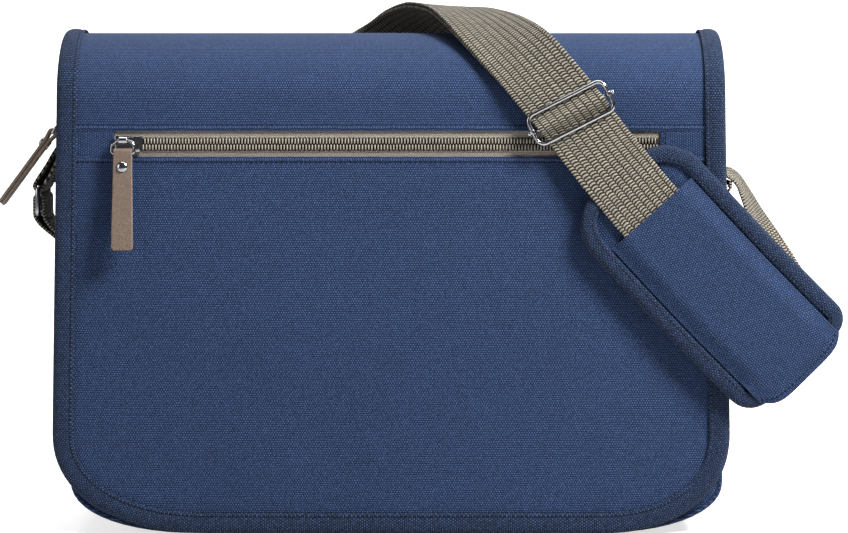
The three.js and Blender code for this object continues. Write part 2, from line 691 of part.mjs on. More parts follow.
function rivet() {
  const { radius, backRadius, post, dome } = RIVET;
  const seat = tabFace + GAP;
  const profile = [
    [0, -seat - dome / 2],
    [backRadius, -seat - dome / 2],
    [backRadius, -seat],
    [post, -seat],
    [post, seat],
    ...spread(0, Math.PI / 3, 2).map((angle) => [radius * Math.cos(angle), seat + dome * Math.sin(angle)]),
    [0, seat + dome],
  ].map(([r, h]) => new THREE.Vector2(r, h));
  const head = new THREE.LatheGeometry(profile, 10).rotateX(Math.PI);
  return head.translate(0, 0, -PULL_RING.drop - PULL_TAB.rivetDrop);
}

function addPull(prefix, place, length) {
  bag.add(place);
  addPiece(place, `${prefix}ring`, pullRing(), brightMetal);
  addPiece(place, `${prefix}tab`, pullTab(length), leatherTaupe);
  addPiece(place, `${prefix}rivet`, rivet(), brightMetal);
}

// The pocket zip's slider and pull, square to the face of the flap
const sliderAt = flapPoint(ZIP_SLIDER_X, zipLine, tapeTo);
const sliderOut = flapPoint(ZIP_SLIDER_X, zipLine, tapeTo + 1).sub(sliderAt);
const flapLean = Math.atan2(sliderOut.z, -sliderOut.y);
const pocketSlider = new THREE.Group();
pocketSlider.position.copy(sliderAt);
pocketSlider.rotation.x = Math.PI / 2 - flapLean;
bag.add(pocketSlider);
addPiece(pocketSlider, 'zip_slider', zipSlider(BAIL.across, 0), brightMetal);
const pocketPull = new THREE.Group();
pocketPull.position
  .set(BAIL.along, BAIL.across, hingeRise)
  .applyAxisAngle(new THREE.Vector3(1, 0, 0), pocketSlider.rotation.x)
  .add(sliderAt);
pocketPull.rotation.x = -flapLean - THREE.MathUtils.degToRad(POCKET_PULL_LEAN);
addPull('pull_', pocketPull, PULL_TAB.length);

// The main zip's slider on the left side, and its pull resting outwards on the strap
const sideFace = BODY_SHIFT - halfBody - GAP - MAIN_TAPE.thickness;
const mainSlider = new THREE.Group();
mainSlider.position.set(sideFace, MAIN_ZIP_Y, MAIN_PULL.hingeZ - BAIL.along);
mainSlider.rotation.y = -Math.PI / 2;
bag.add(mainSlider);
addPiece(mainSlider, 'main_zip_slider', zipSlider(0, Math.PI / 2), brightMetal);
const mainPull = new THREE.Group();
mainPull.position.set(sideFace - hingeRise, MAIN_ZIP_Y, MAIN_PULL.hingeZ);
mainPull.rotation.set(-THREE.MathUtils.degToRad(MAIN_PULL.tilt), 0, -Math.PI / 2, 'ZYX');
addPull('main_pull_', mainPull, MAIN_PULL.length);

// Strap

// The middle of the webbing and the direction across it, sampled by length along the route
const strapLine = new THREE.CatmullRomCurve3(
  STRAP_ROUTE.map(({ x, y, z }) => new THREE.Vector3(x, y, z)),
  false,
  'catmullrom',
);
strapLine.arcLengthDivisions = 2000;
const strapAcross = new THREE.CatmullRomCurve3(
  STRAP_ROUTE.map(({ acrossX, acrossY, acrossZ }) => new THREE.Vector3(acrossX, acrossY, acrossZ)),
  false,
  'catmullrom',
);
const strapLength = strapLine.getLength();
const rowLength = (row) => {
  const lengths = strapLine.getLengths();
  return lengths[Math.round((row / (STRAP_ROUTE.length - 1)) * (lengths.length - 1))];
};

// A point of the strap: along it, across it, and out from its middle
function strapPoint(along, across, out) {
  const u = THREE.MathUtils.clamp(along / strapLength, 0, 1);
  const t = strapLine.getUtoTmapping(u);
  const tangent = strapLine.getTangent(t);
  const side = strapAcross.getPoint(t);
  side.addScaledVector(tangent, -side.dot(tangent)).normalize();
  const face = new THREE.Vector3().crossVectors(tangent, side);
  const overrun = along - u * strapLength;
  const middle = strapLine.getPoint(t).addScaledVector(tangent, overrun);
  return middle.addScaledVector(side, across).addScaledVector(face, out);
}

const halfStrap = STRAP.width / 2;
const halfWebbing = STRAP.thickness / 2;
const buckleAlong = rowLength(BUCKLE_ROW);
const padStart = rowLength(PAD_ROW) + PAD_LEAD;
const skew = Math.tan(BUCKLE_SKEW);
const loopRadius = RING.wire + GAP + halfWebbing;
const barLoop = BUCKLE_BAR.wire + 2 * GAP + halfWebbing;

// The webbing rises over the bar of the strap slider
function buckleLift(along) {
  const past = (along - buckleAlong) / BUCKLE_HUMP.halfLength;
  if (Math.abs(past) >= 1) return 0;
  return BUCKLE_HUMP.height * Math.cos((Math.PI / 2) * past) ** 2;
}

// Near the strap slider the webbing is drawn on lines that run along its skewed bar
function slant(along) {
  const off = Math.abs(along - buckleAlong);
  return skew * (1 - THREE.MathUtils.smoothstep(off, BUCKLE_SLANT.full, BUCKLE_SLANT.none));
}

const COARSE_STEP = 10;
const FINE_STEP = 2;
const FINE_REACH = 14;
const TURN_STEPS = 6; // of webbing round a wire
const BEND_STEPS = 8;

// Places along the outer layer, close together where it bends at the strap slider, the pad and the rings
function strapSteps(from, to) {
  const steps = [from];
  while (steps[steps.length - 1] < to - 0.5) {
    const here = steps[steps.length - 1];
    const bends = [buckleAlong, padStart + PAD.length];
    const nearBend = bends.some((bend) => Math.abs(here - bend) < FINE_REACH);
    const nearEnd = here < 2 * FINE_REACH || here > strapLength - 3 * FINE_REACH;
    const step = nearBend ? FINE_STEP : nearEnd ? 2 * FINE_STEP : COARSE_STEP;
    steps.push(Math.min(here + step, to));
  }
  return steps;
}

// The inner layer runs close under the outer one, and opens to pass round the left ring
function layerStep(along) {
  const open = 1 - THREE.MathUtils.smoothstep(along, 0, LEFT_STRAP_OPEN);
  return LAYER_STEP + (2 * loopRadius - LAYER_STEP) * open;
}

// The stations of the whole length of webbing, each giving a point from across and thickness
function strapStations() {
  const turn = (from, to, count) => spread(from, to, count).map(THREE.MathUtils.degToRad);
  const ringTurn = (x, angle, sign) => (across, h) => {
    const p = polar(loopRadius + sign * h, angle);
    return new THREE.Vector3(x + p.x, across, RING_BAR_Z.upper + p.y);
  };
  const bar = turn(90, -90, TURN_STEPS).map((angle) => (across, h) => {
    const p = polar(barLoop + h, angle);
    return strapPoint(buckleAlong + across * skew + p.x, across, BUCKLE_BAR.rise + p.y);
  });
  const inner = strapSteps(FINE_STEP / 2, buckleAlong - FINE_STEP)
    .reverse()
    .map(
      (along) => (across, h) => strapPoint(along + across * slant(along), across, -layerStep(along) - h),
    );
  const left = turn(360 - LEFT_STRAP_LEAN, 180 - LEFT_STRAP_LEAN, TURN_STEPS).map((angle) =>
    ringTurn(LEFT_RING_X, angle, 1),
  );
  const outer = strapSteps(FINE_STEP / 2, strapLength - FINE_STEP / 2).map(
    (along) => (across, h) => strapPoint(along + across * slant(along), across, buckleLift(along) + h),
  );
  const right = turn(180, 360, TURN_STEPS).map((angle) => ringTurn(rightRingX, angle, -1));
  const end = (across, h) =>
    new THREE.Vector3(rightRingX + loopRadius - h, across, RING_BAR_Z.upper + 3 * halfWebbing);
  return [...bar, ...inner, ...left, ...outer, ...right, end];
}

const rightFace = BODY_SHIFT + halfBody;
const rightRingX = rightFace + GAP + halfWebbing + loopRadius;
const stations = strapStations();
addPiece(
  bag,
  'strap',
  wall(stations.length - 1, 1, (i, j, face) =>
    stations[i](j === 0 ? -halfStrap : halfStrap, face ? halfWebbing : -halfWebbing),
  ),
  webbingTaupe,
);

// Wire rings at the sides, standing across the gusset
function addRing(name, x) {
  const ring = wireLoop(roundedRectangle(RING.width, RING.height, RING.corner), RING.wire, RING_STATIONS);
  const place = new THREE.Group();
  place.position.set(x, 0, (RING_BAR_Z.upper + RING_BAR_Z.lower) / 2);
  place.rotation.z = Math.PI / 2;
  bag.add(place);
  addPiece(place, name, ring, brightMetal);
}

// A short tab of webbing folded round a ring's lower bar, drawn from the side as its middle line
function sideTab(line) {
  return wall(line.length - 1, 1, (i, j, face) => {
    const ahead = line[Math.min(i + 1, line.length - 1)];
    const behind = line[Math.max(i - 1, 0)];
    const t = ahead.clone().sub(behind).normalize();
    const h = face ? halfWebbing : -halfWebbing;
    const across = j === 0 ? -halfStrap : halfStrap;
    return new THREE.Vector3(line[i].x - t.y * h, across, line[i].y + t.x * h);
  });
}

// The tab's line: up one layer from the gusset, slack round the bar, and down the other layer
function tabLine(face, side, barX) {
  const layer = face + side * (GAP + halfWebbing);
  const outerLayer = layer + side * LAYER_STEP;
  const rootZ = RING_BAR_Z.lower - TAB_RISE;
  const foldZ = RING_BAR_Z.lower + TAB_SLACK;
  const bend = (fromX, toX) =>
    spread(0, 1, BEND_STEPS).map((share) => {
      const x = THREE.MathUtils.lerp(fromX, toX, THREE.MathUtils.smoothstep(share, 0, 1));
      return new THREE.Vector2(x, rootZ + TAB_RISE * share);
    });
  const round = spread(0, Math.PI, TURN_STEPS).map((angle) => {
    const p = polar(loopRadius, angle);
    return new THREE.Vector2(barX - side * p.x, foldZ + p.y);
  });
  const foot = (x) => new THREE.Vector2(x, TAB_END_Z);
  const up = bend(layer, barX - side * loopRadius);
  const down = bend(outerLayer, barX + side * loopRadius).reverse();
  return [foot(layer), ...up, ...round, ...down, foot(outerLayer)];
}

const leftFace = BODY_SHIFT - halfBody;
addRing('left_ring', LEFT_RING_X);
addRing('right_ring', rightRingX);
addPiece(bag, 'left_tab', sideTab(tabLine(leftFace, -1, LEFT_RING_X)), webbingTaupe);
addPiece(bag, 'right_tab', sideTab(tabLine(rightFace, 1, rightRingX)), webbingTaupe);

// Strap slider: a wire frame over the webbing and a bar under it, in the plane of the webbing
const buckle = new THREE.Group();
const buckleAt = strapPoint(buckleAlong, 0, BUCKLE.rise);
const buckleLong = strapPoint(buckleAlong + skew, 1, BUCKLE.rise).sub(buckleAt).normalize();
const buckleOut = strapPoint(buckleAlong, 0, BUCKLE.rise - 1).sub(buckleAt).normalize();
const buckleUp = new THREE.Vector3().crossVectors(buckleLong, buckleOut).normalize();
buckle.applyMatrix4(new THREE.Matrix4().makeBasis(buckleLong, buckleOut, buckleUp).setPosition(buckleAt));
bag.add(buckle);
addPiece(
  buckle,
  'slider_frame',
  wireLoop(roundedRectangle(BUCKLE.length, BUCKLE.height, BUCKLE.corner), BUCKLE.wire, BUCKLE_STATIONS),
  brightMetal,
);

// The bar, with an eye at each end round the frame's short sides
function buckleBar() {
  const eyeBore = BUCKLE.wire + 2 * GAP;
  const eyeOuter = eyeBore + BUCKLE_BAR.eyeWall;
  const halfEye = BUCKLE_BAR.eyeLength / 2;
  const tube = [
    [eyeBore, -halfEye],
    [eyeOuter, -halfEye],
    [eyeOuter, halfEye],
    [eyeBore, halfEye],
    [eyeBore, -halfEye],
  ].map(([r, h]) => new THREE.Vector2(r, h));
  const drop = BUCKLE.rise - BUCKLE_BAR.rise;
  const reach = BUCKLE.length - 2 * eyeBore;
  const rod = new THREE.CylinderGeometry(BUCKLE_BAR.wire, BUCKLE_BAR.wire, reach, 10);
  let body = solidOf(rod.rotateZ(Math.PI / 2).translate(0, drop, 0));
  for (const side of [-1, 1]) {
    const eye = new THREE.LatheGeometry(tube, 12).rotateX(Math.PI / 2);
    body = body.add(solidOf(eye.translate((side * BUCKLE.length) / 2, 0, 0)));
  }
  return geometryOf(body);
}
addPiece(buckle, 'slider_bar', buckleBar(), brightMetal);

// Shoulder pad

// A point of the pad, which lies along the strap and ends straight
function padPoint(across, along, out) {
  const past = Math.max(along - PAD.length, 0);
  const point = strapPoint(padStart + along - past, across, out);
  const behind = strapPoint(padStart + along - past - 1, across, out);
  return point.addScaledVector(point.clone().sub(behind), past);
}

const padBindingReach = BINDING.thickness + GAP;
const padTop = -halfWebbing - GAP - padBindingReach; // the foam's upper face, below the webbing
const PAD_STEPS = 9;
const PAD_CORNER_STEPS = 6;

// How far an edge of the pad draws in at a round corner, at a length past where the corner begins
function cornerInset(radius, past) {
  const reach = THREE.MathUtils.clamp(past, 0, radius);
  return radius - Math.sqrt(radius ** 2 - reach ** 2);
}

// Rows of the pad's outline: along it, and the half widths to its left and its right there
function padRows(inset) {
  const edge = (along, endRadius) =>
    PAD.width / 2 -
    inset -
    cornerInset(PAD_CORNER.start - inset, PAD_CORNER.start - along) -
    cornerInset(endRadius - inset, along - PAD.length + endRadius);
  const turn = spread(0, Math.PI / 2, PAD_CORNER_STEPS).map((angle) => 1 - Math.cos(angle));
  const start = turn.map((share) => inset + share * (PAD_CORNER.start - inset));
  const sides = spread(PAD_CORNER.start, PAD.length - PAD_CORNER.leftEnd, PAD_STEPS).slice(1, -1);
  const end = turn.map((share) => PAD.length - inset - share * (PAD_CORNER.leftEnd - inset)).reverse();
  return [...start, ...sides, ...end].map((along) => [
    along,
    edge(along, PAD_CORNER.leftEnd),
    edge(along, PAD_CORNER.rightEnd),
  ]);
}

function padBase() {
  const rows = padRows(padBindingReach);
  return wall(rows.length - 1, 2, (i, j, face) => {
    const [along, left, right] = rows[i];
    return padPoint([-left, 0, right][j], along, face ? padTop : padTop - PAD.foam);
  });
}

function padBinding() {
  const rows = padRows(padBindingReach);
  const leftEdge = rows.map(([along, left]) => new THREE.Vector2(-left, along));
  const rightEdge = rows.map(([along, , right]) => new THREE.Vector2(right, along)).reverse();
  const section = bindingSection(PAD.bindingWidth, PAD.foam, BINDING.thickness);
  const onPad = (across, along, out) => padPoint(across, along, padTop - PAD.foam + out);
  return foldedTape([...leftEdge, ...rightEdge], section, onPad, true);
}

// The sleeve over the webbing: it comes down to the foam beside it, and passes over the lower binding
function padCover() {
  const edge = PAD.width / 2 - PAD.bindingWidth - GAP;
  const shoulder = halfStrap + 3 * GAP;
  const end = PAD.length + PAD_COVER.overhang;
  const rows = padRows(padBindingReach)
    .map(([along]) => along)
    .filter((along) => along > PAD_COVER.from + 1 && along < PAD.length - 3);
  const along = [PAD_COVER.from, ...rows, PAD.length, end];
  const top = halfWebbing + GAP;
  const onFoam = padTop + GAP;
  const onBinding = padTop + padBindingReach + GAP;
  const slopeSteps = 2; // columns from the webbing's edge down to the sleeve's edge
  const centre = slopeSteps + 1;
  return wall(2 * centre, along.length - 1, (i, j, face) => {
    const past = Math.max((Math.abs(i - centre) - 1) / slopeSteps, 0);
    const half = THREE.MathUtils.lerp(shoulder, edge, past);
    const across = half * Math.sign(i - centre);
    const bow = PAD_COVER.endBow * THREE.MathUtils.smoothstep(along[j], PAD_COVER.liftFrom, end);
    const drawnIn = bow * (across / edge) ** 4;
    const low = THREE.MathUtils.smoothstep(along[j], PAD_COVER.liftFrom, PAD.length - PAD.bindingWidth - 1);
    const under = THREE.MathUtils.lerp(top, THREE.MathUtils.lerp(onFoam, onBinding, low), past);
    return padPoint(across, along[j] - drawnIn, under + face * PAD_COVER.cloth);
  });
}

addPiece(bag, 'pad_base', padBase(), canvasBlue);
addPiece(bag, 'pad_cover', padCover(), canvasBlue);
addPiece(bag, 'pad_binding', padBinding(), bindingNavy);

export default bag;
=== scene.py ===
"""Canvas shoulder bag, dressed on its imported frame: cloth, webbing, zips, leather and wire."""
import math

import bpy
import numpy as np
from mathutils import Matrix, Vector


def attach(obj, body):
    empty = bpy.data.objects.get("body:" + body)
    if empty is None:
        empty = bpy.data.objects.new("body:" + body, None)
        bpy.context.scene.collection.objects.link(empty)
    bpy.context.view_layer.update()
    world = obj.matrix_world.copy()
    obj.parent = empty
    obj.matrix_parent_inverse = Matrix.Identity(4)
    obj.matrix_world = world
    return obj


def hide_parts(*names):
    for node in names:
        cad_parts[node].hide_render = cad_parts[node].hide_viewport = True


bl_info = {
    "name": "Canvas Shoulder Bag",
    "version": (1, 0, 0),
    "blender": (4, 5, 0),
    "location": "View3D > Sidebar > Shoulder Bag",
    "description": "Models the cloth, webbing, zips and fittings of a canvas shoulder bag",
    "category": "Object",
}

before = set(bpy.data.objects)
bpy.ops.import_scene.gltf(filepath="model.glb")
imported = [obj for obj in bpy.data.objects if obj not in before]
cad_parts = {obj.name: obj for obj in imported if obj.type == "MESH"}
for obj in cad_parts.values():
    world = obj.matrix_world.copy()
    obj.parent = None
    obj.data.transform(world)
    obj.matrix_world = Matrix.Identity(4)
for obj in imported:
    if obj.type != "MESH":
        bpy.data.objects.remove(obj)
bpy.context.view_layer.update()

MM = 0.001
GAP = 0.3

# Sizes of the bag in millimetres and degrees, as in its frame
BODY = {"width": 371, "height": 248, "shift": 3, "base_depth": 104, "top_depth": 90, "wall": 2, "bulge": 5}
BASE_CORNER = {"run": 75, "rise": 30, "power": 2.2}
TOP_EDGE_RADIUS = 5
MAIN_ZIP = {
    "y": -16, "slot": 11, "tape": 26, "left_z": 208, "right_z": 238,
    "coil_z": 230, "teeth_rise": 2.6,
}
MAIN_PULL = {"z": 233, "tilt": 36.5, "length": 53.2}
FLAP = {"width": 384.4, "taper": 4.25, "clear": 2, "seam_z": 230, "spring_z": 244, "rise": 37, "hem_z": 1.5}
FLAP_CORNER = {"left": 88, "right": 73, "rise": 56, "power": 2.2}
SLOT = {"top_z": 229, "bottom_z": 213.9, "zip_z": 221.4}
LAYER = {"backing": (0, 1), "tape": (1.3, 0.8), "cloth": (2.3, 1.2), "coil": (2.4, 2.2), "tab": (2.4, 1)}
COIL_RUN = (-156.9, 153.9)
SLIDER_X = -150.6
PULL_LEAN = 7
BINDING_LIP = 1.3
STRAP = {"width": 40, "thickness": 1.8, "step": 2.1}
RING = {
    "width": 48, "height": 16, "corner": 3, "wire": 1.5,
    "upper_z": 196.5, "lower_z": 180.5, "left_x": -203,
}
TAB = {"end_z": 125, "rise": 24, "slack": 8.5}
BUCKLE = {"length": 47.5, "height": 18, "corner": 4.5, "wire": 1.25, "rise": 2.6, "bar": 1.1, "bar_rise": 0.2}
BUCKLE_HUMP = {"height": 5.3, "half": 8}
BUCKLE_END = {"inset": 2.4, "knob": 1.9}
BUCKLE_TURN = 11.5
PAD = {
    "length": 152.5, "width": 79, "foam": 4.5, "binding": 9.5,
    "start": 26, "left_end": 15, "right_end": 11.5,
}
SLEEVE = {
    "start": 30, "overhang": 4.8, "cloth": 1.5, "hem": 3.4,
    "left_bow": 9, "right_bow": 5.3, "bow_power": 5.5, "lift": 133,
}

# Soft forms of the cloth in millimetres, their waves in millimetres to a radian, and starts in radians
SLACK = {
    "broad": 0.45, "broad_waves": (58, 43), "broad_starts": (0.7, 1.1),
    "slanted": 0.3, "slanted_waves": (31, 49), "slanted_start": 2,
    "fade_z": (170, 204), "fade_x": (40, 95), "lead": 30,
}
SLOT_LIP = {
    "swell": 0.55, "swell_at": 1.1, "swell_width": 0.9,
    "sink": 0.15, "sink_at": 2.8, "sink_width": 0.6,
}
LIP_REACH = 3.5
SLOT_SEAM_END = 9.5
SLOT_STITCH = {"upper": 2.8, "lower": 2.9}
HOLLOW = {"depth": 2.2, "rise_z": (30, 110), "end_z": (190, 240)}
SEAM = {"sink": 0.8, "reach": 3, "stitch": 4.5, "end": 12}
STITCH_RISE = 0.05
TWILL_PITCH = 1.6

# The gusset: how deep and from where its edges fold in, where its weave turns, its share of the wall
GUSSET = {"fold": 0.9, "fold_at": 0.955, "weave_turn": 150, "wall": 0.97}

# The pad's crown, whose edge is a share of the foam's thickness, and its sewn groove
CROWN = {"edge": 0.82, "reach": 14, "groove": 1.5, "groove_at": 7.8, "groove_width": 0.9}

# The webbing's edge: its rounding, its scallops, the bars to each, and the share that the weave spans
SELVEDGE = {
    "inset": 0.45, "round": 0.1, "round_at": 0.62,
    "width": 1.2, "depth": 0.22, "bars": 1.5, "map": 0.94,
}

# A stitch's height as a share of its width
STITCH_FLAT = 0.9

# The heights between which painted shade darkens the webbing at the top of the arch
ARCH_SHADE_Z = (250, 292)

# Where the strap shows or bends, and the steps between its stations, in millimetres along it
STRAP_STEPS = {
    "shown_from": 280, "under_sleeve": 6, "past_pad": 30, "fold": 14, "left_bend": 28, "right_bend": 42,
    "shown": 1.3, "bend": 2, "hidden": 5,
}

# How far from the strap slider its webbing runs askew
SKEW_FADE = (15, 60)

# The zips and their sliders, in millimetres; slant, taper, waist and the bail's height are ratios
TAPE = {"half_run": 177, "tuck": 5, "slant": 1.15}
CORE = {"half": 3.2, "rise": 0.5, "thick": 0.7, "stitch": 3.45, "stitch_rise": 0.2}
TOOTH = {"size": (0.8, 3.1, 2.0), "round": 0.34, "offset": 1.72, "rise": 1.0}
ZIP_TABS = {"left": (-187, -159.4), "left_stitch": -182, "right": (154.9, 187), "right_stitch": 158}
SLIDER = {
    "plate": (15.6, 10.2, 1.5), "rise": 3.6, "taper": 0.84, "fall": 0.35,
    "waist": 0.16, "waist_at": -0.5, "waist_width": 3.2,
    "rail": (14.2, 0.9, 3.2), "rail_y": 4.0, "rail_z": 1.9,
    "nose": (1.5, 9.4, 2.6), "nose_at": (7.0, 0, 3.4),
}
BAIL = {"radius": 1.35, "height": 1.15, "half": 2.4}

# Limits in metres under which points meet, and the turn in radians under which faces look smooth
MERGE = 0.002 * MM
TOUCH = 1e-6
SMOOTH_ANGLE = math.radians(40)
MIRROR = np.array([-1, 1])

# The outer layer of the strap: the middle of the webbing, and the direction across it
STRAP_ROUTE = (
    (-205.34, 0, 197.85, 0, 1, 0),
    (-202.84, 0.2, 202.15, 0, 1, 0),
    (-199.6, 2, 206.3, -0.12, 0.95, -0.3),
    (-196, 6.1, 211.2, -0.22, 0.8, -0.55),
    (-194, 13.6, 216.3, -0.14, 0.62, -0.77),
    (-192.5, 24.4, 221.6, -0.03, 0.45, -0.89),
    (-192.3, 40, 228, 0.03, 0.36, -0.93),
    (-190, 58.5, 233, 0.2, 0.2, -0.96),
    (-170, 62.3, 236.5, 0.16, 0.04, -0.98),
    (-140, 62.5, 238.5, 0.14, 0, -0.99),
    (-105, 62.5, 241.5, 0.16, 0, -0.98),
    (-70, 62.5, 247, 0.24, 0, -0.97),
    (-38, 62, 256, 0.38, 0, -0.92),
    (-10, 57, 270.5, 0.55, 0.12, -0.82),
    (10, 46, 286, 0.62, 0.4, -0.66),
    (24, 28, 296.5, 0.65, 0.66, -0.34),
    (36, 6, 299.5, 0.72, 0.69, -0.02),
    (48, -15, 293.8, 0.85, 0.47, 0.15),
    (61, -35, 283.6, 0.88, 0.24, 0.35),
    (74, -50.5, 271.4, 0.84, 0.06, 0.525),
    (85, -57, 258.5, 0.79, 0, 0.6),
    (101, -59, 239, 0.765, 0, 0.645),
    (112, -60.5, 224.5, 0.76, 0, 0.65),
    (122, -63.5, 211.5, 0.755, 0, 0.655),
    (132, -65.8, 199.5, 0.75, 0, 0.66),
    (146, -66.8, 183, 0.745, 0, 0.665),
    (182, -67.5, 144.5, 0.725, 0, 0.69),
    (206, -67.3, 120, 0.725, 0, 0.69),
    (222, -66.2, 104, 0.72, 0, 0.69),
    (231.3, -64.9, 94.7, 0.71, 0, 0.7),
    (232.7, -63.6, 93.3, 0.71, 0, 0.7),
    (233.3, -60.5, 92.7, 0.72, 0, 0.69),
    (233.6, -50, 92.9, 0.73, 0, 0.68),
    (233.6, -37, 96.5, 0.75, 0.06, 0.65),
    (232.8, -28, 103.6, 0.78, 0.14, 0.58),
    (230.6, -20.4, 116, 0.78, 0.3, 0.5),
    (225.5, -14, 138.5, 0.72, 0.56, 0.3),
    (217.4, -9, 163.5, 0.52, 0.84, 0.1),
    (210.6, -5, 181, 0.31, 0.95, 0.05),
    (205.3, -2, 192.4, 0.18, 0.97, 0.1),
    (201, -1, 199.4, 0.13, 0.98, 0.11),
    (196.2, -0.3, 203.4, 0.1, 0.98, 0.11),
    (192.4, 0, 204.2, 0.05, 1, 0.06),
    (190.2, 0, 202.4, 0, 1, 0.02),
    (189.7, 0, 199.6, 0, 1, 0),
    (189.7, 0, 196.5, 0, 1, 0),
)
BUCKLE_ROW = 21
PAD_ROW = 22
PAD_LEAD = 24


# Settings that a user may change


def length_setting(name, description, default):
    """A size in metres that a user may change."""
    return bpy.props.FloatProperty(
        name=name, description=description, default=default, min=0, unit="LENGTH", precision=5
    )


def colour_setting(name, description, default):
    """A linear colour that a user may change."""
    return bpy.props.FloatVectorProperty(
        name=name, description=description, default=default, size=3, min=0, max=1, subtype="COLOR"
    )


def power_setting(name, description, default):
    """A light's power in watts."""
    return bpy.props.FloatProperty(name=name, description=description, default=default, min=0, unit="POWER")


def share_setting(name, description, default):
    """A plain factor from zero to one."""
    return bpy.props.FloatProperty(name=name, description=description, default=default, min=0, max=1)


class BagCloth(bpy.types.PropertyGroup):
    """Canvas, binding tape and sewing thread"""

    # Painted light and shade: the gap colour is painted shade between threads, the light colour is laid
    # mostly on the lit weft floats
    canvas_gap_shade: colour_setting("Canvas, deep", "Painted shade between the threads", (0.0006, 0.0030, 0.0180))
    canvas_light: colour_setting("Canvas, light", "Colour of the raised weft threads", (0.031, 0.058, 0.130))
    warp_pitch: length_setting("Warp pitch", "Distance between warp threads", 0.724 * MM)
    weft_pitch: length_setting("Weft pitch", "Distance between weft threads", 1.285 * MM)
    # Painted light and shade: the gap colour is painted shade between the tape's threads, the light colour is
    # laid mostly on its weft floats
    binding_gap_shade: colour_setting("Binding, deep", "Painted shade between its threads", (0.0003, 0.0015, 0.0070))
    binding_light: colour_setting("Binding, light", "Colour of its raised threads", (0.023, 0.043, 0.096))
    binding_warp: length_setting("Binding warp", "Distance between threads across the tape", 0.77 * MM)
    binding_weft: length_setting("Binding weft", "Distance between threads along the tape", 1.22 * MM)
    # Painted shade: the thread is darkened to near black to stand for the shade in its stitch holes
    thread: colour_setting("Thread", "Colour of the sewing thread, darkened as painted shade of its holes", (0.0025, 0.004, 0.010))
    stitch_pitch: length_setting("Stitch pitch", "Distance from one stitch to the next", 2.8 * MM)
    stitch_length: length_setting("Stitch length", "Length of thread that shows in a stitch", 1.9 * MM)
    thread_radius: length_setting("Thread radius", "Half the thickness of the sewing thread", 0.36 * MM)


class BagWebbing(bpy.types.PropertyGroup):
    """Strap webbing and zip tape"""

    # Painted shade: this colour stands in for the shade between the bars and ribs
    gap_shade: colour_setting("Webbing, deep", "Painted shade between the bars of the weave", (0.010, 0.009, 0.006))
    light: colour_setting("Webbing, light", "Colour of the bars of the weave", (0.204, 0.182, 0.146))
    ribs: bpy.props.IntProperty(name="Ribs", description="Ribs across the webbing", default=10, min=2, max=20)
    rib_depth: length_setting("Rib depth", "Depth of the grooves between ribs", 0.3 * MM)
    bar_pitch: length_setting("Bar pitch", "Distance between bars along a rib", 1.82 * MM)
    # Painted shade: how much darker the top of the arch is painted
    arch_shade: share_setting("Arch shade", "Painted shade at the top of the arch", 0.28)
    # Painted shade: this colour stands in for the shade in the grooves between the tape's ribs
    tape_groove_shade: colour_setting("Zip tape, deep", "Painted shade between the tape's ribs", (0.060, 0.052, 0.044))
    tape_light: colour_setting("Zip tape, light", "Colour of the tape's ribs", (0.310, 0.276, 0.234))
    tooth_pitch: length_setting("Coil pitch", "Distance between turns of the zip coil", 1.8 * MM)


class BagFittings(bpy.types.PropertyGroup):
    """Metal and leather"""

    metal: colour_setting("Metal", "Colour of the bright plating", (0.36, 0.36, 0.38))
    leather: colour_setting("Leather", "Colour of the pull tabs", (0.097, 0.066, 0.048))
    leather_edge: colour_setting("Leather edge", "Colour of the tabs' cut edges", (0.165, 0.120, 0.092))
    coil: colour_setting("Coil", "Colour of the zip coil", (0.225, 0.202, 0.162))
    # Painted shade: the cord's near-black colour stands in for the shade between the coil's teeth
    core: colour_setting("Cord and gap shade", "Near-black colour of the coil's cord, painted shade between the teeth, and of its sewing", (0.008, 0.007, 0.006))


class BagStage(bpy.types.PropertyGroup):
    """Floor, lights and camera"""

    floor: colour_setting("Floor", "Colour of the floor and backdrop", (0.6, 0.6, 0.6))
    floor_glow: share_setting("Floor glow", "Whitens the floor's shadow", 0.7)
    key_power: power_setting("Key light", "Power of the main light", 67)
    top_power: power_setting("Top light", "Power of the light overhead", 31)
    fill_power: power_setting("Fill light", "Power of the light at the left", 6)
    world_light: share_setting("Surround", "Strength of the even light", 0.08)
    lens: bpy.props.FloatProperty(name="Lens", description="Focal length in mm", default=124.26, min=10)


# Lines and surfaces that the pieces lie on


def smoothstep(value, low, high):
    """Zero below low, one above high, and smooth between them."""
    t = np.clip((np.asarray(value, float) - low) / (high - low), 0, 1)
    return t * t * (3 - 2 * t)


def curve_points(points, per_span):
    """A smooth line through points, with some points to each span."""
    p = np.asarray(points, float)
    p = np.vstack([2 * p[0] - p[1], p, 2 * p[-1] - p[-2]])
    t = np.linspace(0, 1, per_span, endpoint=False)[:, None]
    spans = [
        0.5 * (2 * b + (c - a) * t + (2 * a - 5 * b + 4 * c - d) * t**2 + (3 * b - a - 3 * c + d) * t**3)
        for a, b, c, d in zip(p[:-3], p[1:-2], p[2:-1], p[3:])
    ]
    return np.vstack(spans + [p[-2:-1]])


def lengths(points):
    """Length along a line up to each of its points."""
    return np.concatenate([[0], np.cumsum(np.linalg.norm(np.diff(points, axis=0), axis=1))])


def columns_at(places, run, table):
    """Each column of a table, read at places along the run of its rows."""
    return [np.interp(places, run, column) for column in np.asarray(table, float).T]


def resample(points, count):
    """A line drawn again with evenly spaced points."""
    run = lengths(points)
    return np.stack(columns_at(np.linspace(0, run[-1], count), run, points), axis=1)


def tangents(line):
    """The direction of a line at each of its points."""
    slope = np.gradient(line, axis=0)
    return slope / np.linalg.norm(slope, axis=1)[:, None]


def normals(line):
    """The direction to the left of a flat line at each of its points."""
    slope = tangents(line)
    return np.stack([-slope[:, 1], slope[:, 0]], axis=1)


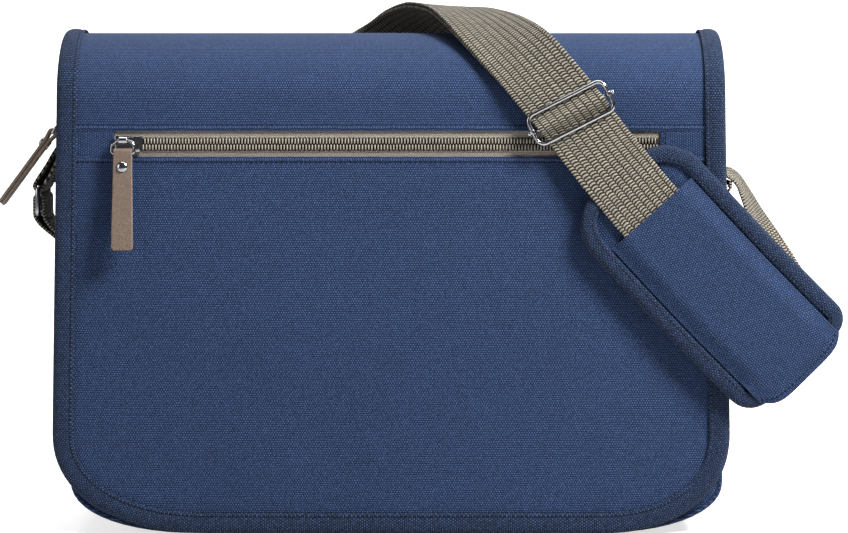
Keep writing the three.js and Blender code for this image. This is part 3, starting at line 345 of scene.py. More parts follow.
def mound(value, middle, width):
    """A smooth mound of height one."""
    return np.exp(-(((value - middle) / width) ** 2))


def soft_corner(run, rise, power, count):
    """How far out and how far up the points of a soft corner lie."""
    turn = np.linspace(0, np.pi / 2, count)
    return run * np.sin(turn) ** (2 / power), rise * (1 - np.cos(turn) ** (2 / power))


def corner_rise(past, run, rise, power):
    """How far a soft corner has risen at a distance past its start."""
    share = np.clip(past / run, 0, 1)
    return rise * (1 - (1 - share**power) ** (1 / power))


def half_depth(z):
    """Half the body's depth at a height."""
    return (BODY["base_depth"] + (BODY["top_depth"] - BODY["base_depth"]) * z / BODY["height"]) / 2


def bulge(x, z):
    """The swell of the body's faces, which the flap follows."""
    across = np.maximum(1 - ((x - BODY["shift"]) / (BODY["width"] / 2)) ** 2, 0)
    return BODY["bulge"] * across * np.sin(np.pi * np.clip(z / FLAP["spring_z"], 0, 1))


def flap_line():
    """The flap's inner face from the side, from the back seam over the crest to the hem."""
    half = half_depth(FLAP["spring_z"]) + FLAP["clear"]
    turn = np.linspace(0, np.pi, 241)
    crest = np.stack([half * np.cos(turn), FLAP["spring_z"] + FLAP["rise"] * np.sin(turn)], axis=1)
    seam = [half_depth(FLAP["seam_z"]) + FLAP["clear"], FLAP["seam_z"]]
    hem = [-half_depth(FLAP["hem_z"]) - FLAP["clear"], FLAP["hem_z"]]
    back = np.linspace(seam, crest[0], 8)[:-1]
    front = np.linspace(crest[-1], hem, 60)[1:]
    return np.vstack([back, crest, front])


FLAP_LINE = flap_line()
FLAP_RUN = lengths(FLAP_LINE)
FLAP_TANGENT = np.gradient(FLAP_LINE, FLAP_RUN, axis=0)
FLAP_LENGTH = FLAP_RUN[-1]
FRONT_LENGTH = np.hypot(
    FLAP["spring_z"] - FLAP["hem_z"], half_depth(FLAP["hem_z"]) - half_depth(FLAP["spring_z"])
)
FRONT_START = FLAP_LENGTH - FRONT_LENGTH
FLAP_EDGE = FLAP["width"] / 2 - BINDING_LIP
HEM_EDGE = FLAP_LENGTH - BINDING_LIP


def along_front(z):
    """The place along the flap at a height on its front."""
    return FRONT_START + (FLAP["spring_z"] - z) * FRONT_LENGTH / (FLAP["spring_z"] - FLAP["hem_z"])


SLOT_TOP = along_front(SLOT["top_z"])
SLOT_BOTTOM = along_front(SLOT["bottom_z"])
ZIP_LINE = along_front(SLOT["zip_z"])


def flap_slack(x, z):
    """Soft unevenness of the hanging cloth, which fades out at the zip and under the pad."""
    free = (1 - smoothstep(z, *SLACK["fade_z"])) * (1 - smoothstep(x, *SLACK["fade_x"]))
    wide, tall = SLACK["broad_waves"]
    start_x, start_z = SLACK["broad_starts"]
    broad = SLACK["broad"] * np.sin(x / wide + start_x) * np.sin(z / tall + start_z)
    run, rise = SLACK["slanted_waves"]
    slanted = SLACK["slanted"] * np.sin(x / run - z / rise + SLACK["slanted_start"])
    return free * (broad + slanted)


def flap_point(across, along, out):
    """A point of the flap: across it, along it from the back seam, and out from its inner face."""
    y, z = columns_at(along, FLAP_RUN, FLAP_LINE)
    ty, tz = columns_at(along, FLAP_RUN, FLAP_TANGENT)
    to_hem = np.clip((along - FRONT_START) / FRONT_LENGTH, 0, 1)
    x = across * (1 - (FLAP["taper"] / FLAP_EDGE) * (1 - to_hem))
    front = smoothstep(along, FRONT_START, FRONT_START + SLACK["lead"])
    reach = out + bulge(x, z) + flap_slack(x, z) * front
    return np.stack([x + 0 * reach, y + tz * reach, z - ty * reach], axis=-1)


def hem_rise(across):
    """How far the hem has risen at a place across the flap."""
    run = np.where(across < 0, FLAP_CORNER["left"], FLAP_CORNER["right"])
    return corner_rise(np.abs(across) - (FLAP_EDGE - run), run, FLAP_CORNER["rise"], FLAP_CORNER["power"])


def hem_along(across, along):
    """The place along the flap of cloth that reaches the hem, drawn in at its rounded corners."""
    share = np.clip((along - SLOT_BOTTOM) / (HEM_EDGE - SLOT_BOTTOM), 0, None)
    return along - hem_rise(across) * share


def flap_cloth_point(across, along, out):
    """A point of the cloth that reaches the hem."""
    return flap_point(across, hem_along(across, along), out)


def slot_lip(along):
    """How the folded edges of the zip slot swell, and sink along their stitches."""
    past = np.minimum(np.abs(along - SLOT_TOP), np.abs(along - SLOT_BOTTOM))
    swell = SLOT_LIP["swell"] * mound(past, SLOT_LIP["swell_at"], SLOT_LIP["swell_width"])
    return swell - SLOT_LIP["sink"] * mound(past, SLOT_LIP["sink_at"], SLOT_LIP["sink_width"])


def flap_edge():
    """The edge of the flap's cloth: down the left side, along the hem and up the right side."""
    sides = []
    for side, run in ((-1, FLAP_CORNER["left"]), (1, FLAP_CORNER["right"])):
        reach, rise = soft_corner(run, FLAP_CORNER["rise"], FLAP_CORNER["power"], 40)
        corner = np.stack([side * (FLAP_EDGE - run + reach), HEM_EDGE - rise], axis=1)
        top = np.linspace([side * FLAP_EDGE, 0], corner[-1], 90)[:-1]
        sides.append(np.vstack([top, corner[::-1]]))
    return resample(np.vstack([sides[0], sides[1][::-1]]), 260)


def route_tables(per_span):
    """The strap's route as dense tables: place along it, middle, tangent, across and face."""
    rows = curve_points(STRAP_ROUTE, per_span)
    middle, across = rows[:, :3], rows[:, 3:]
    tangent = tangents(middle)
    across = across - tangent * np.sum(across * tangent, axis=1)[:, None]
    across /= np.linalg.norm(across, axis=1)[:, None]
    return lengths(middle), middle, tangent, across, np.cross(tangent, across)


ROUTE_STEPS = 60
ROUTE_RUN, ROUTE_MIDDLE, ROUTE_TANGENT, ROUTE_ACROSS, ROUTE_FACE = route_tables(ROUTE_STEPS)
STRAP_LENGTH = ROUTE_RUN[-1]
BUCKLE_ALONG = ROUTE_RUN[BUCKLE_ROW * ROUTE_STEPS]
PAD_START = ROUTE_RUN[PAD_ROW * ROUTE_STEPS] + PAD_LEAD
BUCKLE_SKEW = math.tan(math.radians(BUCKLE_TURN))


def along_route(table, along):
    """A row of a route's table at a place along it."""
    return np.stack(columns_at(along, ROUTE_RUN, table), axis=-1)


def strap_point(along, across, out):
    """A point of the strap: along it, across it, and out from its middle."""
    along, across, out = np.broadcast_arrays(*(np.asarray(v, float) for v in (along, across, out)))
    held = np.clip(along, 0, STRAP_LENGTH)
    overrun = (along - held)[..., None]
    middle = along_route(ROUTE_MIDDLE, held) + along_route(ROUTE_TANGENT, held) * overrun
    sideways = along_route(ROUTE_ACROSS, held) * across[..., None]
    return middle + sideways + along_route(ROUTE_FACE, held) * out[..., None]


def pad_point(across, along, out):
    """A point of the pad, which lies along the strap and ends straight."""
    past = np.maximum(along - PAD["length"], 0)
    point = strap_point(PAD_START + along - past, across, out)
    behind = strap_point(PAD_START + along - past - 1, across, out)
    return point + (point - behind) * np.asarray(past)[..., None]


# Ways of modelling that several pieces share


def start_piece():
    """Leaves edit mode and deselects everything, before a primitive is added."""
    if bpy.context.object and bpy.context.object.mode != "OBJECT":
        bpy.ops.object.mode_set(mode="OBJECT")
    bpy.ops.object.select_all(action="DESELECT")


def name_piece(name):
    """Names the piece that was just added."""
    piece = bpy.context.object
    piece.name = name
    piece.data.name = name
    return piece


def get_points(piece):
    """The piece's vertices as an array."""
    points = np.empty(len(piece.data.vertices) * 3)
    piece.data.vertices.foreach_get("co", points)
    return points.reshape(-1, 3)


def set_points(piece, points):
    """Moves the piece's vertices."""
    piece.data.vertices.foreach_set("co", np.ascontiguousarray(points).ravel())
    piece.data.update()


def set_cloth_map(piece, u, v):
    """Gives the piece a map called cloth, in metres across and along it."""
    mesh = piece.data
    layer = mesh.uv_layers[0] if mesh.uv_layers else mesh.uv_layers.new()
    layer.name = "cloth"
    corner = np.empty(len(mesh.loops), dtype=int)
    mesh.loops.foreach_get("vertex_index", corner)
    layer.uv.foreach_set("vector", np.stack([u[corner], v[corner]], axis=1).ravel() * MM)


def choose(*pieces):
    """Selects these pieces alone, and makes the first one active."""
    bpy.ops.object.select_all(action="DESELECT")
    for piece in pieces:
        piece.select_set(True)
    bpy.context.view_layer.objects.active = pieces[0]


def grid_piece(name, columns, rows):
    """A grid primitive, with the column and the row of each of its points."""
    start_piece()
    bpy.ops.mesh.primitive_grid_add(x_subdivisions=columns - 1, y_subdivisions=rows - 1, size=1)
    piece = name_piece(name)
    share = get_points(piece) + 0.5
    column = np.rint(share[:, 0] * (columns - 1)).astype(int)
    return piece, column, np.rint(share[:, 1] * (rows - 1)).astype(int)


def block(name, size, centre=(0, 0, 0)):
    """A cube primitive at its size and place in millimetres."""
    start_piece()
    bpy.ops.mesh.primitive_cube_add(size=1)
    piece = name_piece(name)
    set_points(piece, (get_points(piece) * np.array(size) + np.array(centre)) * MM)
    return piece


def laid_grid(name, us, vs, surface, cloth_map=None):
    """A grid primitive laid on a surface; us and vs are its places across and along it."""
    us, vs = np.asarray(us, float), np.asarray(vs, float)
    piece, column, row = grid_piece(name, len(us), len(vs))
    u, v = us[column], vs[row]
    set_points(piece, surface(u, v, 0) * MM)
    set_cloth_map(piece, *(cloth_map(u, v) if cloth_map else (u, v)))
    outward = (surface(u, v, 1) - surface(u, v, 0))[piece.data.polygons[0].vertices[0]]
    if np.dot(outward, piece.data.polygons[0].normal) < 0:
        edit(piece, lambda: bpy.ops.mesh.flip_normals())
    bpy.ops.object.shade_smooth()
    return piece


def edit(piece, work):
    """Does some work on the whole piece in edit mode."""
    bpy.context.view_layer.objects.active = piece
    bpy.ops.object.mode_set(mode="EDIT")
    bpy.ops.mesh.select_all(action="SELECT")
    work()
    bpy.ops.object.mode_set(mode="OBJECT")


def merge_points(piece):
    """Closes the seam of a piece whose ends meet."""
    edit(piece, lambda: bpy.ops.mesh.remove_doubles(threshold=MERGE))


def deselect_points(kind):
    """Deselects all points or edges of the active piece, and goes back to object mode."""
    bpy.ops.object.mode_set(mode="EDIT")
    bpy.ops.mesh.select_mode(type=kind)
    bpy.ops.mesh.select_all(action="DESELECT")
    bpy.ops.object.mode_set(mode="OBJECT")


def add_modifier(piece, kind, **values):
    """Adds a modifier, sets it and applies it."""
    choose(piece)
    bpy.ops.object.modifier_add(type=kind)
    modifier = piece.modifiers[-1]
    for key, value in values.items():
        setattr(modifier, key, value)
    bpy.ops.object.modifier_apply(modifier=modifier.name)


def round_edges(piece, width, segments, angle=30):
    """Rounds the edges that turn by more than an angle in degrees."""
    limit = math.radians(angle)
    add_modifier(piece, "BEVEL", width=width * MM, segments=segments, limit_method="ANGLE", angle_limit=limit)


def thicken(piece, thickness, rim=0.35, offset=1):
    """Gives a sheet its thickness, and rounds its rim."""
    add_modifier(piece, "SOLIDIFY", thickness=thickness * MM, offset=offset, use_even_offset=True)
    round_edges(piece, rim, 2, 50)
    bpy.ops.object.shade_smooth_by_angle(angle=SMOOTH_ANGLE)


def swept_grid(name, sections, across, along, turned=False):
    """A closed section carried along a line: sections[k, i] is point i at station k."""
    rows = np.concatenate([sections, sections[:, :1]], axis=1)
    across = np.broadcast_to(across, sections.shape[:2])
    across = np.concatenate([across, across[:, :1]], axis=1)
    along = np.broadcast_to(np.asarray(along, float)[:, None], across.shape)
    piece, i, k = grid_piece(name, rows.shape[1], rows.shape[0])
    set_points(piece, rows[k, i] * MM)
    cloth = (across[k, i], along[k, i])
    set_cloth_map(piece, *(cloth[::-1] if turned else cloth))

    def close():
        bpy.ops.mesh.remove_doubles(threshold=MERGE)
        bpy.ops.mesh.fill_holes(sides=0)
        bpy.ops.mesh.select_all(action="SELECT")
        bpy.ops.mesh.normals_make_consistent(inside=False)

    edit(piece, close)
    bpy.ops.object.shade_smooth()
    return piece


def copies(name, model, matrices):
    """Copies of a small model joined as one piece; the model itself is used up."""
    points = get_points(model)
    faces = [list(face.vertices) for face in model.data.polygons]
    all_points = np.vstack([points @ np.array(m)[:3, :3].T + np.array(m)[:3, 3] for m in matrices])
    all_faces = [[v + k * len(points) for v in face] for k in range(len(matrices)) for face in faces]
    mesh = bpy.data.meshes.new(name)
    mesh.from_pydata(all_points.tolist(), [], all_faces)
    old = model.data
    model.data = mesh
    bpy.data.meshes.remove(old)
    model.name = name
    choose(model)
    bpy.ops.object.shade_smooth()
    return model


def frame_matrix(origin, x_axis, z_axis):
    """A matrix at an origin in metres, from the directions of its X and Z axes."""
    x = Vector(x_axis).normalized()
    z = Vector(z_axis)
    z = (z - x * z.dot(x)).normalized()
    y = z.cross(x)
    matrix = Matrix((x, y, z)).transposed().to_4x4()
    matrix.translation = Vector(origin)
    return matrix


def stitch_row(name, line, outward, cloth):
    """A row of stitches along a line, lying on the side that outward points to."""
    start_piece()
    bpy.ops.mesh.primitive_uv_sphere_add(segments=6, ring_count=4, radius=1)
    model = name_piece(name)
    size = np.array([cloth.stitch_length / 2, cloth.thread_radius, cloth.thread_radius * STITCH_FLAT])
    set_points(model, get_points(model)[:, [2, 0, 1]] * size)
    run = lengths(line)
    places = np.arange(0.5, int(run[-1] * MM / cloth.stitch_pitch)) * cloth.stitch_pitch / MM
    spots, ahead, behind = (np.stack(columns_at(places + step, run, line), axis=1) for step in (0, 0.5, -0.5))
    outs = np.stack(columns_at(places, run, outward), axis=1)
    matrices = [frame_matrix(p * MM, a - b, o) for p, a, b, o in zip(spots, ahead, behind, outs)]
    return copies(name, model, matrices)


def surface_row(name, surface, across, along, out, cloth):
    """A row of stitches on a surface, through places across and along it."""
    line = surface(across, along, out)
    return stitch_row(name, line, surface(across, along, out + 1) - line, cloth)


def wire_loop(name, width, height, corners, wire, place):
    """A wire bent to a rounded rectangle in the X-Z plane: a plane primitive whose corners are rounded."""
    start_piece()
    bpy.ops.mesh.primitive_plane_add(size=1)
    piece = name_piece(name)
    set_points(piece, get_points(piece) * np.array([width, height, 1]) * MM)
    lower, upper = corners
    for radius, sign in ((lower, -1), (upper, 1)):
        deselect_points("VERT")
        for vertex in piece.data.vertices:
            at_side = abs(abs(vertex.co.x) - width * MM / 2) < TOUCH
            at_end = abs(abs(vertex.co.y) - height * MM / 2) < TOUCH
            vertex.select = at_side and at_end and vertex.co.y * sign > 0
        bpy.ops.object.mode_set(mode="EDIT")
        bpy.ops.mesh.bevel(offset=radius * MM, offset_type="OFFSET", segments=10, affect="VERTICES")
        bpy.ops.object.mode_set(mode="OBJECT")
    edit(piece, lambda: bpy.ops.mesh.delete(type="ONLY_FACE"))
    bpy.ops.object.convert(target="CURVE")
    piece.data.bevel_depth = wire * MM
    piece.data.bevel_resolution = 5
    bpy.ops.object.convert(target="MESH")
    piece = bpy.context.object
    edit(piece, lambda: bpy.ops.mesh.normals_make_consistent(inside=False))
    bpy.ops.object.shade_smooth()
    piece.data.transform(place @ Matrix.Rotation(math.pi / 2, 4, "X"))
    return piece


def turned_piece(name, profile, segments, place):
    """A turned piece: a profile of radius and height spun round the Z axis."""
    start_piece()
    bpy.ops.mesh.primitive_circle_add(vertices=len(profile), radius=1)
    piece = name_piece(name)
    points = np.array([(radius, 0, height) for radius, height in profile], float)
    set_points(piece, points * MM)

    def spin():
        bpy.ops.mesh.select_mode(type="VERT")
        bpy.ops.mesh.select_all(action="SELECT")
        bpy.ops.mesh.spin(steps=segments, angle=2 * math.pi, center=(0, 0, 0), axis=(0, 0, 1))
        bpy.ops.mesh.select_all(action="SELECT")
        bpy.ops.mesh.remove_doubles(threshold=MERGE)
        bpy.ops.mesh.dissolve_degenerate(threshold=MERGE / 2)
        bpy.ops.mesh.select_all(action="SELECT")
        bpy.ops.mesh.normals_make_consistent(inside=False)

    edit(piece, spin)
    bpy.ops.object.shade_smooth_by_angle(angle=SMOOTH_ANGLE)
    piece.data.transform(place)
    return piece


def joined(name, *pieces):
    """Pieces joined as one."""
    choose(*pieces)
    bpy.ops.object.join()
    return name_piece(name)


def finish_piece(piece, material, slot, body, *nodes):
    """Gives a piece its material, its body and the nodes that it stands for."""
    piece.data.materials.clear()
    piece.data.materials.append(material)
    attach(piece, body)
    if nodes:
        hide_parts(*nodes)


# Materials


class Wires:
    """Places and links the nodes of a material or a node group."""

    def __init__(self, tree):
        self.tree = tree

    def node(self, kind, inputs=None, **values):
        """A node with its settings and its inputs, by socket name or number."""
        node = self.tree.nodes.new(kind)
        for key, value in values.items():
            setattr(node, key, value)
        for key, value in (inputs or {}).items():
            self.feed(node.inputs[key], value)
        return node

    def feed(self, socket, value):
        """Links a socket, or sets its value."""
        if isinstance(value, bpy.types.NodeSocket):
            self.tree.links.new(value, socket)
        else:
            socket.default_value = value

    def math(self, operation, *values):
        """A math node's result."""
        return self.node("ShaderNodeMath", dict(enumerate(values)), operation=operation).outputs[0]

    def times(self, first, second):
        """The product of two values."""
        return self.math("MULTIPLY", first, second)

    def fit(self, value, factor, start):
        """A value times a factor, added to a start."""
        return self.math("MULTIPLY_ADD", value, factor, start)

    def clamp(self, value):
        """A value kept between zero and one."""
        return self.node("ShaderNodeClamp", {0: value}).outputs[0]

    def hump(self, turns):
        """A rise and a fall over each whole turn."""
        return self.math("SINE", self.times(self.math("FRACT", turns), math.pi))

    def parts(self, vector):
        """The three parts of a vector."""
        return self.node("ShaderNodeSeparateXYZ", {0: vector}).outputs

    def noise(self, place, scale, detail):
        """Soft noise over a place."""
        return self.node("ShaderNodeTexNoise", {"Vector": place, "Scale": scale, "Detail": detail}).outputs[0]

    def chance(self, column, row):
        """An even chance for each column and row of threads."""
        key = self.node("ShaderNodeCombineXYZ", {0: column, 1: row}).outputs[0]
        return self.node("ShaderNodeTexWhiteNoise", {"Vector": key}, noise_dimensions="2D").outputs[0]

    def place(self):
        """The object's coordinates."""
        return self.node("ShaderNodeTexCoord").outputs["Object"]

    def bump(self, height, strength, depth):
        """A relief from a height, with its depth in millimetres."""
        inputs = {"Height": height, "Strength": strength, "Distance": depth * MM}
        return self.node("ShaderNodeBump", inputs).outputs[0]

    def mix(self, factor, first, second):
        """A colour between two colours."""
        inputs = {0: factor, 6: first, 7: second}
        return self.node("ShaderNodeMix", inputs, data_type="RGBA").outputs[2]

    def scaled(self, colour, factor):
        """A colour made lighter or darker by a value."""
        grey = self.node("ShaderNodeCombineColor", {0: factor, 1: factor, 2: factor}).outputs[0]
        inputs = {0: 1.0, 6: colour, 7: grey}
        return self.node("ShaderNodeMix", inputs, data_type="RGBA", blend_type="MULTIPLY").outputs[2]

    def group(self, group, **inputs):
        """A placed node group."""
        node = self.tree.nodes.new("ShaderNodeGroup")
        node.node_tree = group
        for key, value in inputs.items():
            self.feed(node.inputs[key.replace("_", " ")], value)
        return node.outputs


def new_group(name, inputs, outputs):
    """An empty node group, its wires and its two ends; an input with no default is a vector."""
    group = bpy.data.node_groups.new(name, "ShaderNodeTree")
    for label, default in inputs.items():
        kind = "NodeSocketVector" if default is None else "NodeSocketFloat"
        socket = group.interface.new_socket(label, in_out="INPUT", socket_type=kind)
        if default is not None:
            socket.default_value = default
    for label in outputs:
        group.interface.new_socket(label, in_out="OUTPUT", socket_type="NodeSocketFloat")
    wires = Wires(group)
    return group, wires, wires.node("NodeGroupInput").outputs, wires.node("NodeGroupOutput").inputs


def plain_weave_group():
    """Plain weave: warp and weft threads that pass over each other by turns."""
    name = "plain_weave"
    if name in bpy.data.node_groups:
        return bpy.data.node_groups[name]
    inputs = {"Cloth": None, "Warp pitch": 0.0007, "Weft pitch": 0.0013}
    group, w, ins, outs = new_group(name, inputs, ["Height", "Weft", "Tone"])
    shift = w.fit(w.noise(ins["Cloth"], 240.0, 1.0), 0.5, -0.25)
    place = w.parts(ins["Cloth"])
    u = w.math("ADD", w.math("DIVIDE", place[0], ins["Warp pitch"]), shift)
    v = w.math("ADD", w.math("DIVIDE", place[1], ins["Weft pitch"]), shift)
    column, row = w.math("FLOOR", u), w.math("FLOOR", v)
    rise_u, rise_v = w.hump(u), w.hump(v)
    turn = w.math("FRACT", w.times(w.math("ADD", column, row), 0.5))
    over = w.fit(turn, 4.0, -1.0)
    warp_wave = w.fit(w.times(over, rise_v), 0.5, 0.5)
    weft_wave = w.fit(w.times(over, rise_u), -0.5, 0.5)
    warp = w.times(w.math("POWER", rise_u, 0.7), warp_wave)
    weft = w.times(w.math("POWER", rise_v, 0.7), weft_wave)
    w.feed(outs["Height"], w.math("MAXIMUM", warp, weft))
    # The weft share, which the materials use to paint light on the weft floats
    w.feed(outs["Weft"], w.clamp(w.fit(w.math("SUBTRACT", weft, warp), 1.8, 0.05)))
    each = w.chance(column, row)
    slub = w.noise(ins["Cloth"], 700.0, 2.0)
    w.feed(outs["Tone"], w.math("ADD", w.times(each, 0.4), w.times(slub, 0.6)))
    return group


def twill_group():
    """Twill: slanted ribs of short floats."""
    name = "twill"
    if name in bpy.data.node_groups:
        return bpy.data.node_groups[name]
    group, w, ins, outs = new_group(name, {"Cloth": None, "Pitch": 0.0012, "Slant": 1.0}, ["Height", "Tone"])
    place = w.parts(ins["Cloth"])
    wander = w.noise(ins["Cloth"], 500.0, 1.0)
    slanted = w.fit(place[0], ins["Slant"], place[1])
    turns = w.math("ADD", w.math("DIVIDE", slanted, ins["Pitch"]), w.times(wander, 0.5))
    rib = w.math("ABSOLUTE", w.math("SINE", w.times(turns, math.pi)))
    float_turns = w.times(w.math("DIVIDE", place[1], ins["Pitch"]), 2 * math.pi)
    floats = w.fit(w.math("SINE", float_turns), 0.18, 0.82)
    w.feed(outs["Height"], w.times(rib, floats))
    w.feed(outs["Tone"], w.noise(ins["Cloth"], 900.0, 2.0))
    return group


def webbing_group():
    """Ribbed webbing: bars across the strap, parted by grooves between the ribs."""
    name = "webbing_bars"
    if name in bpy.data.node_groups:
        return bpy.data.node_groups[name]
    inputs = {"Cloth": None, "Rib pitch": 0.004, "Bar pitch": 0.0018}
    group, w, ins, outs = new_group(name, inputs, ["Height", "Tone"])
    place = w.parts(ins["Cloth"])
    rib = w.math("DIVIDE", place[0], ins["Rib pitch"])
    column = w.math("FLOOR", rib)
    rib_rise = w.hump(rib)
    wander = w.noise(ins["Cloth"], 300.0, 1.0)
    stagger = w.times(w.math("FLOORED_MODULO", column, 2.0), 0.5)
    bow = w.fit(rib_rise, 0.28, stagger)
    along = w.fit(wander, 0.4, w.math("DIVIDE", place[1], ins["Bar pitch"]))
    bar = w.math("ADD", along, bow)
    ribs = w.clamp(w.fit(rib_rise, 2.5, -0.05))
    bars = w.clamp(w.fit(w.hump(bar), 2.3, -1.05))
    w.feed(outs["Height"], w.times(ribs, bars))
    each = w.chance(column, w.math("FLOOR", bar))
    flecks = w.math("POWER", w.noise(ins["Cloth"], 1500.0, 2.0), 2.0)
    w.feed(outs["Tone"], w.fit(each, 0.35, w.times(flecks, 2.2)))
    return group


def handling_group():
    """Uneven tone over a large surface, from dyeing and handling."""
    name = "handling"
    if name in bpy.data.node_groups:
        return bpy.data.node_groups[name]
    group, w, ins, outs = new_group(name, {"Place": None, "Amount": 0.2}, ["Tone"])
    broad = w.noise(ins["Place"], 14.0, 3.0)
    fine = w.noise(ins["Place"], 130.0, 2.0)
    both = w.fit(fine, 0.4, w.times(broad, 0.6))
    w.feed(outs["Tone"], w.fit(w.math("SUBTRACT", both, 0.5), ins["Amount"], 1.0))
    return group


def new_material(name):
    """A new material, its wires and its shader."""
    material = bpy.data.materials.new(name)
    material.use_nodes = True
    wires = Wires(material.node_tree)
    return material, wires, material.node_tree.nodes["Principled BSDF"]


def cloth_place(w):
    """The piece's own cloth map, and the object's coordinates."""
    return w.node("ShaderNodeUVMap", uv_map="cloth").outputs[0], w.place()


def opaque(colour):
    """A colour property with full alpha."""
    return (*colour, 1.0)


def cloth_shader(w, shader, colour, height, relief, roughness, sheen):
    """Feeds a cloth's colour and relief to its shader."""
    w.feed(shader.inputs["Base Color"], colour)
    w.feed(shader.inputs["Normal"], w.bump(height, 1.0, relief))
    shader.inputs["Roughness"].default_value = roughness
    shader.inputs["Specular IOR Level"].default_value = 0.15
    shader.inputs["Sheen Weight"].default_value = sheen
    shader.inputs["Sheen Roughness"].default_value = 0.5


def weave_material(name, gap_shade, light, pitches, relief, uneven):
    """Cloth in plain weave; the pitches are those of warp and weft. Its gap colour is painted shade between
    the threads, and the raised weft floats get painted light over the warp.
    """
    if name in bpy.data.materials:
        return bpy.data.materials[name]
    material, w, shader = new_material(name)
    cloth_map, place = cloth_place(w)
    warp, weft = pitches
    weave = w.group(plain_weave_group(), Cloth=cloth_map, Warp_pitch=warp, Weft_pitch=weft)
    handling = w.group(handling_group(), Place=place, Amount=0.4)
    # Painted light and shade: raised weft floats take the light colour, and warp tops and gaps lean to the
    # painted shade colour
    share = w.math("MAXIMUM", weave["Weft"], w.times(weave["Height"], 0.3))
    base = w.mix(share, opaque(gap_shade), opaque(light))
    tone = w.times(w.fit(weave["Tone"], uneven, 1 - uneven / 2), handling["Tone"])
    cloth_shader(w, shader, w.scaled(base, tone), weave["Height"], relief, 0.88, 0.03)
    return material


def canvas_material(cloth):
    """Blue canvas."""
    pitches = (cloth.warp_pitch, cloth.weft_pitch)
    return weave_material("canvas", cloth.canvas_gap_shade, cloth.canvas_light, pitches, 0.3, 0.9)


def binding_material(cloth):
    """Navy binding tape, woven as the canvas is but coarser."""
    pitches = (cloth.binding_warp, cloth.binding_weft)
    return weave_material("binding_tape", cloth.binding_gap_shade, cloth.binding_light, pitches, 0.6, 1.6)


def twill_material(name, webbing, slant):
    """Zip tape in twill, with its ribs at a slant."""
    if name in bpy.data.materials:
        return bpy.data.materials[name]
    material, w, shader = new_material(name)
    cloth_map, place = cloth_place(w)
    weave = w.group(twill_group(), Cloth=cloth_map, Pitch=TWILL_PITCH * MM, Slant=slant)
    handling = w.group(handling_group(), Place=place, Amount=0.3)
    # Painted shade: the grooves between the twill's ribs take the dark colour
    base = w.mix(weave["Height"], opaque(webbing.tape_groove_shade), opaque(webbing.tape_light))
    tone = w.times(w.fit(weave["Tone"], 0.8, 0.6), handling["Tone"])
    cloth_shader(w, shader, w.scaled(base, tone), weave["Height"], 0.15, 0.85, 0.08)
    return material


def webbing_material(webbing):
    """Taupe webbing with bars across its ribs, and painted shade that darkens the top of the arch."""
    name = "webbing"
    if name in bpy.data.materials:
        return bpy.data.materials[name]
    material, w, shader = new_material(name)
    cloth_map, place = cloth_place(w)
    rib = STRAP["width"] * MM / webbing.ribs
    weave = w.group(webbing_group(), Cloth=cloth_map, Rib_pitch=rib, Bar_pitch=webbing.bar_pitch)
    handling = w.group(handling_group(), Place=place, Amount=0.3)
    # Painted shade: the gaps between bars and ribs take the dark colour
    base = w.mix(weave["Height"], opaque(webbing.gap_shade), opaque(webbing.light))
    tone = w.times(w.fit(weave["Tone"], 0.7, 0.65), handling["Tone"])
    # Painted shade: the webbing is darkened with height over the top of the arch
    low, high = ARCH_SHADE_Z
    limits = {"From Min": low * MM, "From Max": high * MM, "To Min": 1.0, "To Max": 1 - webbing.arch_shade}
    inputs = {"Value": w.parts(place)[2], **limits}
    held = w.node("ShaderNodeMapRange", inputs, interpolation_type="SMOOTHSTEP").outputs[0]
    colour = w.scaled(base, w.times(tone, held))
    cloth_shader(w, shader, colour, weave["Height"], 0.45, 0.7, 0.02)
    return material


def thread_material(name, colour):
    """Sewing thread, with a fine twist."""
    if name in bpy.data.materials:
        return bpy.data.materials[name]
    material, w, shader = new_material(name)
    twist = w.noise(w.place(), 2500.0, 1.0)
    cloth_shader(w, shader, w.scaled(opaque(colour), w.fit(twist, 0.8, 0.6)), twist, 0.05, 0.7, 0.0)
    return material


def seam_thread(cloth):
    """The navy thread of the bag's seams, darkened to near black as painted shade of the stitch holes."""
    return thread_material("navy_thread", cloth.thread)


def metal_material(fittings):
    """Bright plating with faint rubbing."""
    name = "bright_plating"
    if name in bpy.data.materials:
        return bpy.data.materials[name]
    material, w, shader = new_material(name)
    rub = w.noise(w.place(), 900.0, 3.0)
    w.feed(shader.inputs["Roughness"], w.fit(rub, 0.08, 0.1))
    w.feed(shader.inputs["Base Color"], w.scaled(opaque(fittings.metal), w.fit(rub, 0.12, 0.94)))
    w.feed(shader.inputs["Normal"], w.bump(rub, 0.3, 0.02))
    shader.inputs["Metallic"].default_value = 1.0
    return material


def leather_material(fittings):
    """Smooth taupe leather with a fine grain and paler cut edges."""
    name = "leather"
    if name in bpy.data.materials:
        return bpy.data.materials[name]
    material, w, shader = new_material(name)
    place = w.place()
    inputs = {"Vector": place, "Scale": 1400.0}
    cells = w.node("ShaderNodeTexVoronoi", inputs, feature="DISTANCE_TO_EDGE").outputs[0]
    cloudy = w.noise(place, 950.0, 4.0)
    grain = w.math("ADD", w.times(cells, 0.8), w.times(cloudy, 0.4))
    edge = w.node("ShaderNodeAttribute", attribute_name="cut_edge").outputs["Fac"]
    base = w.mix(edge, opaque(fittings.leather), opaque(fittings.leather_edge))
    w.feed(shader.inputs["Base Color"], w.scaled(base, w.fit(cloudy, 1.4, 0.3)))
    w.feed(shader.inputs["Normal"], w.bump(grain, 0.6, 0.08))
    w.feed(shader.inputs["Roughness"], w.fit(cloudy, 0.25, 0.5))
    return material


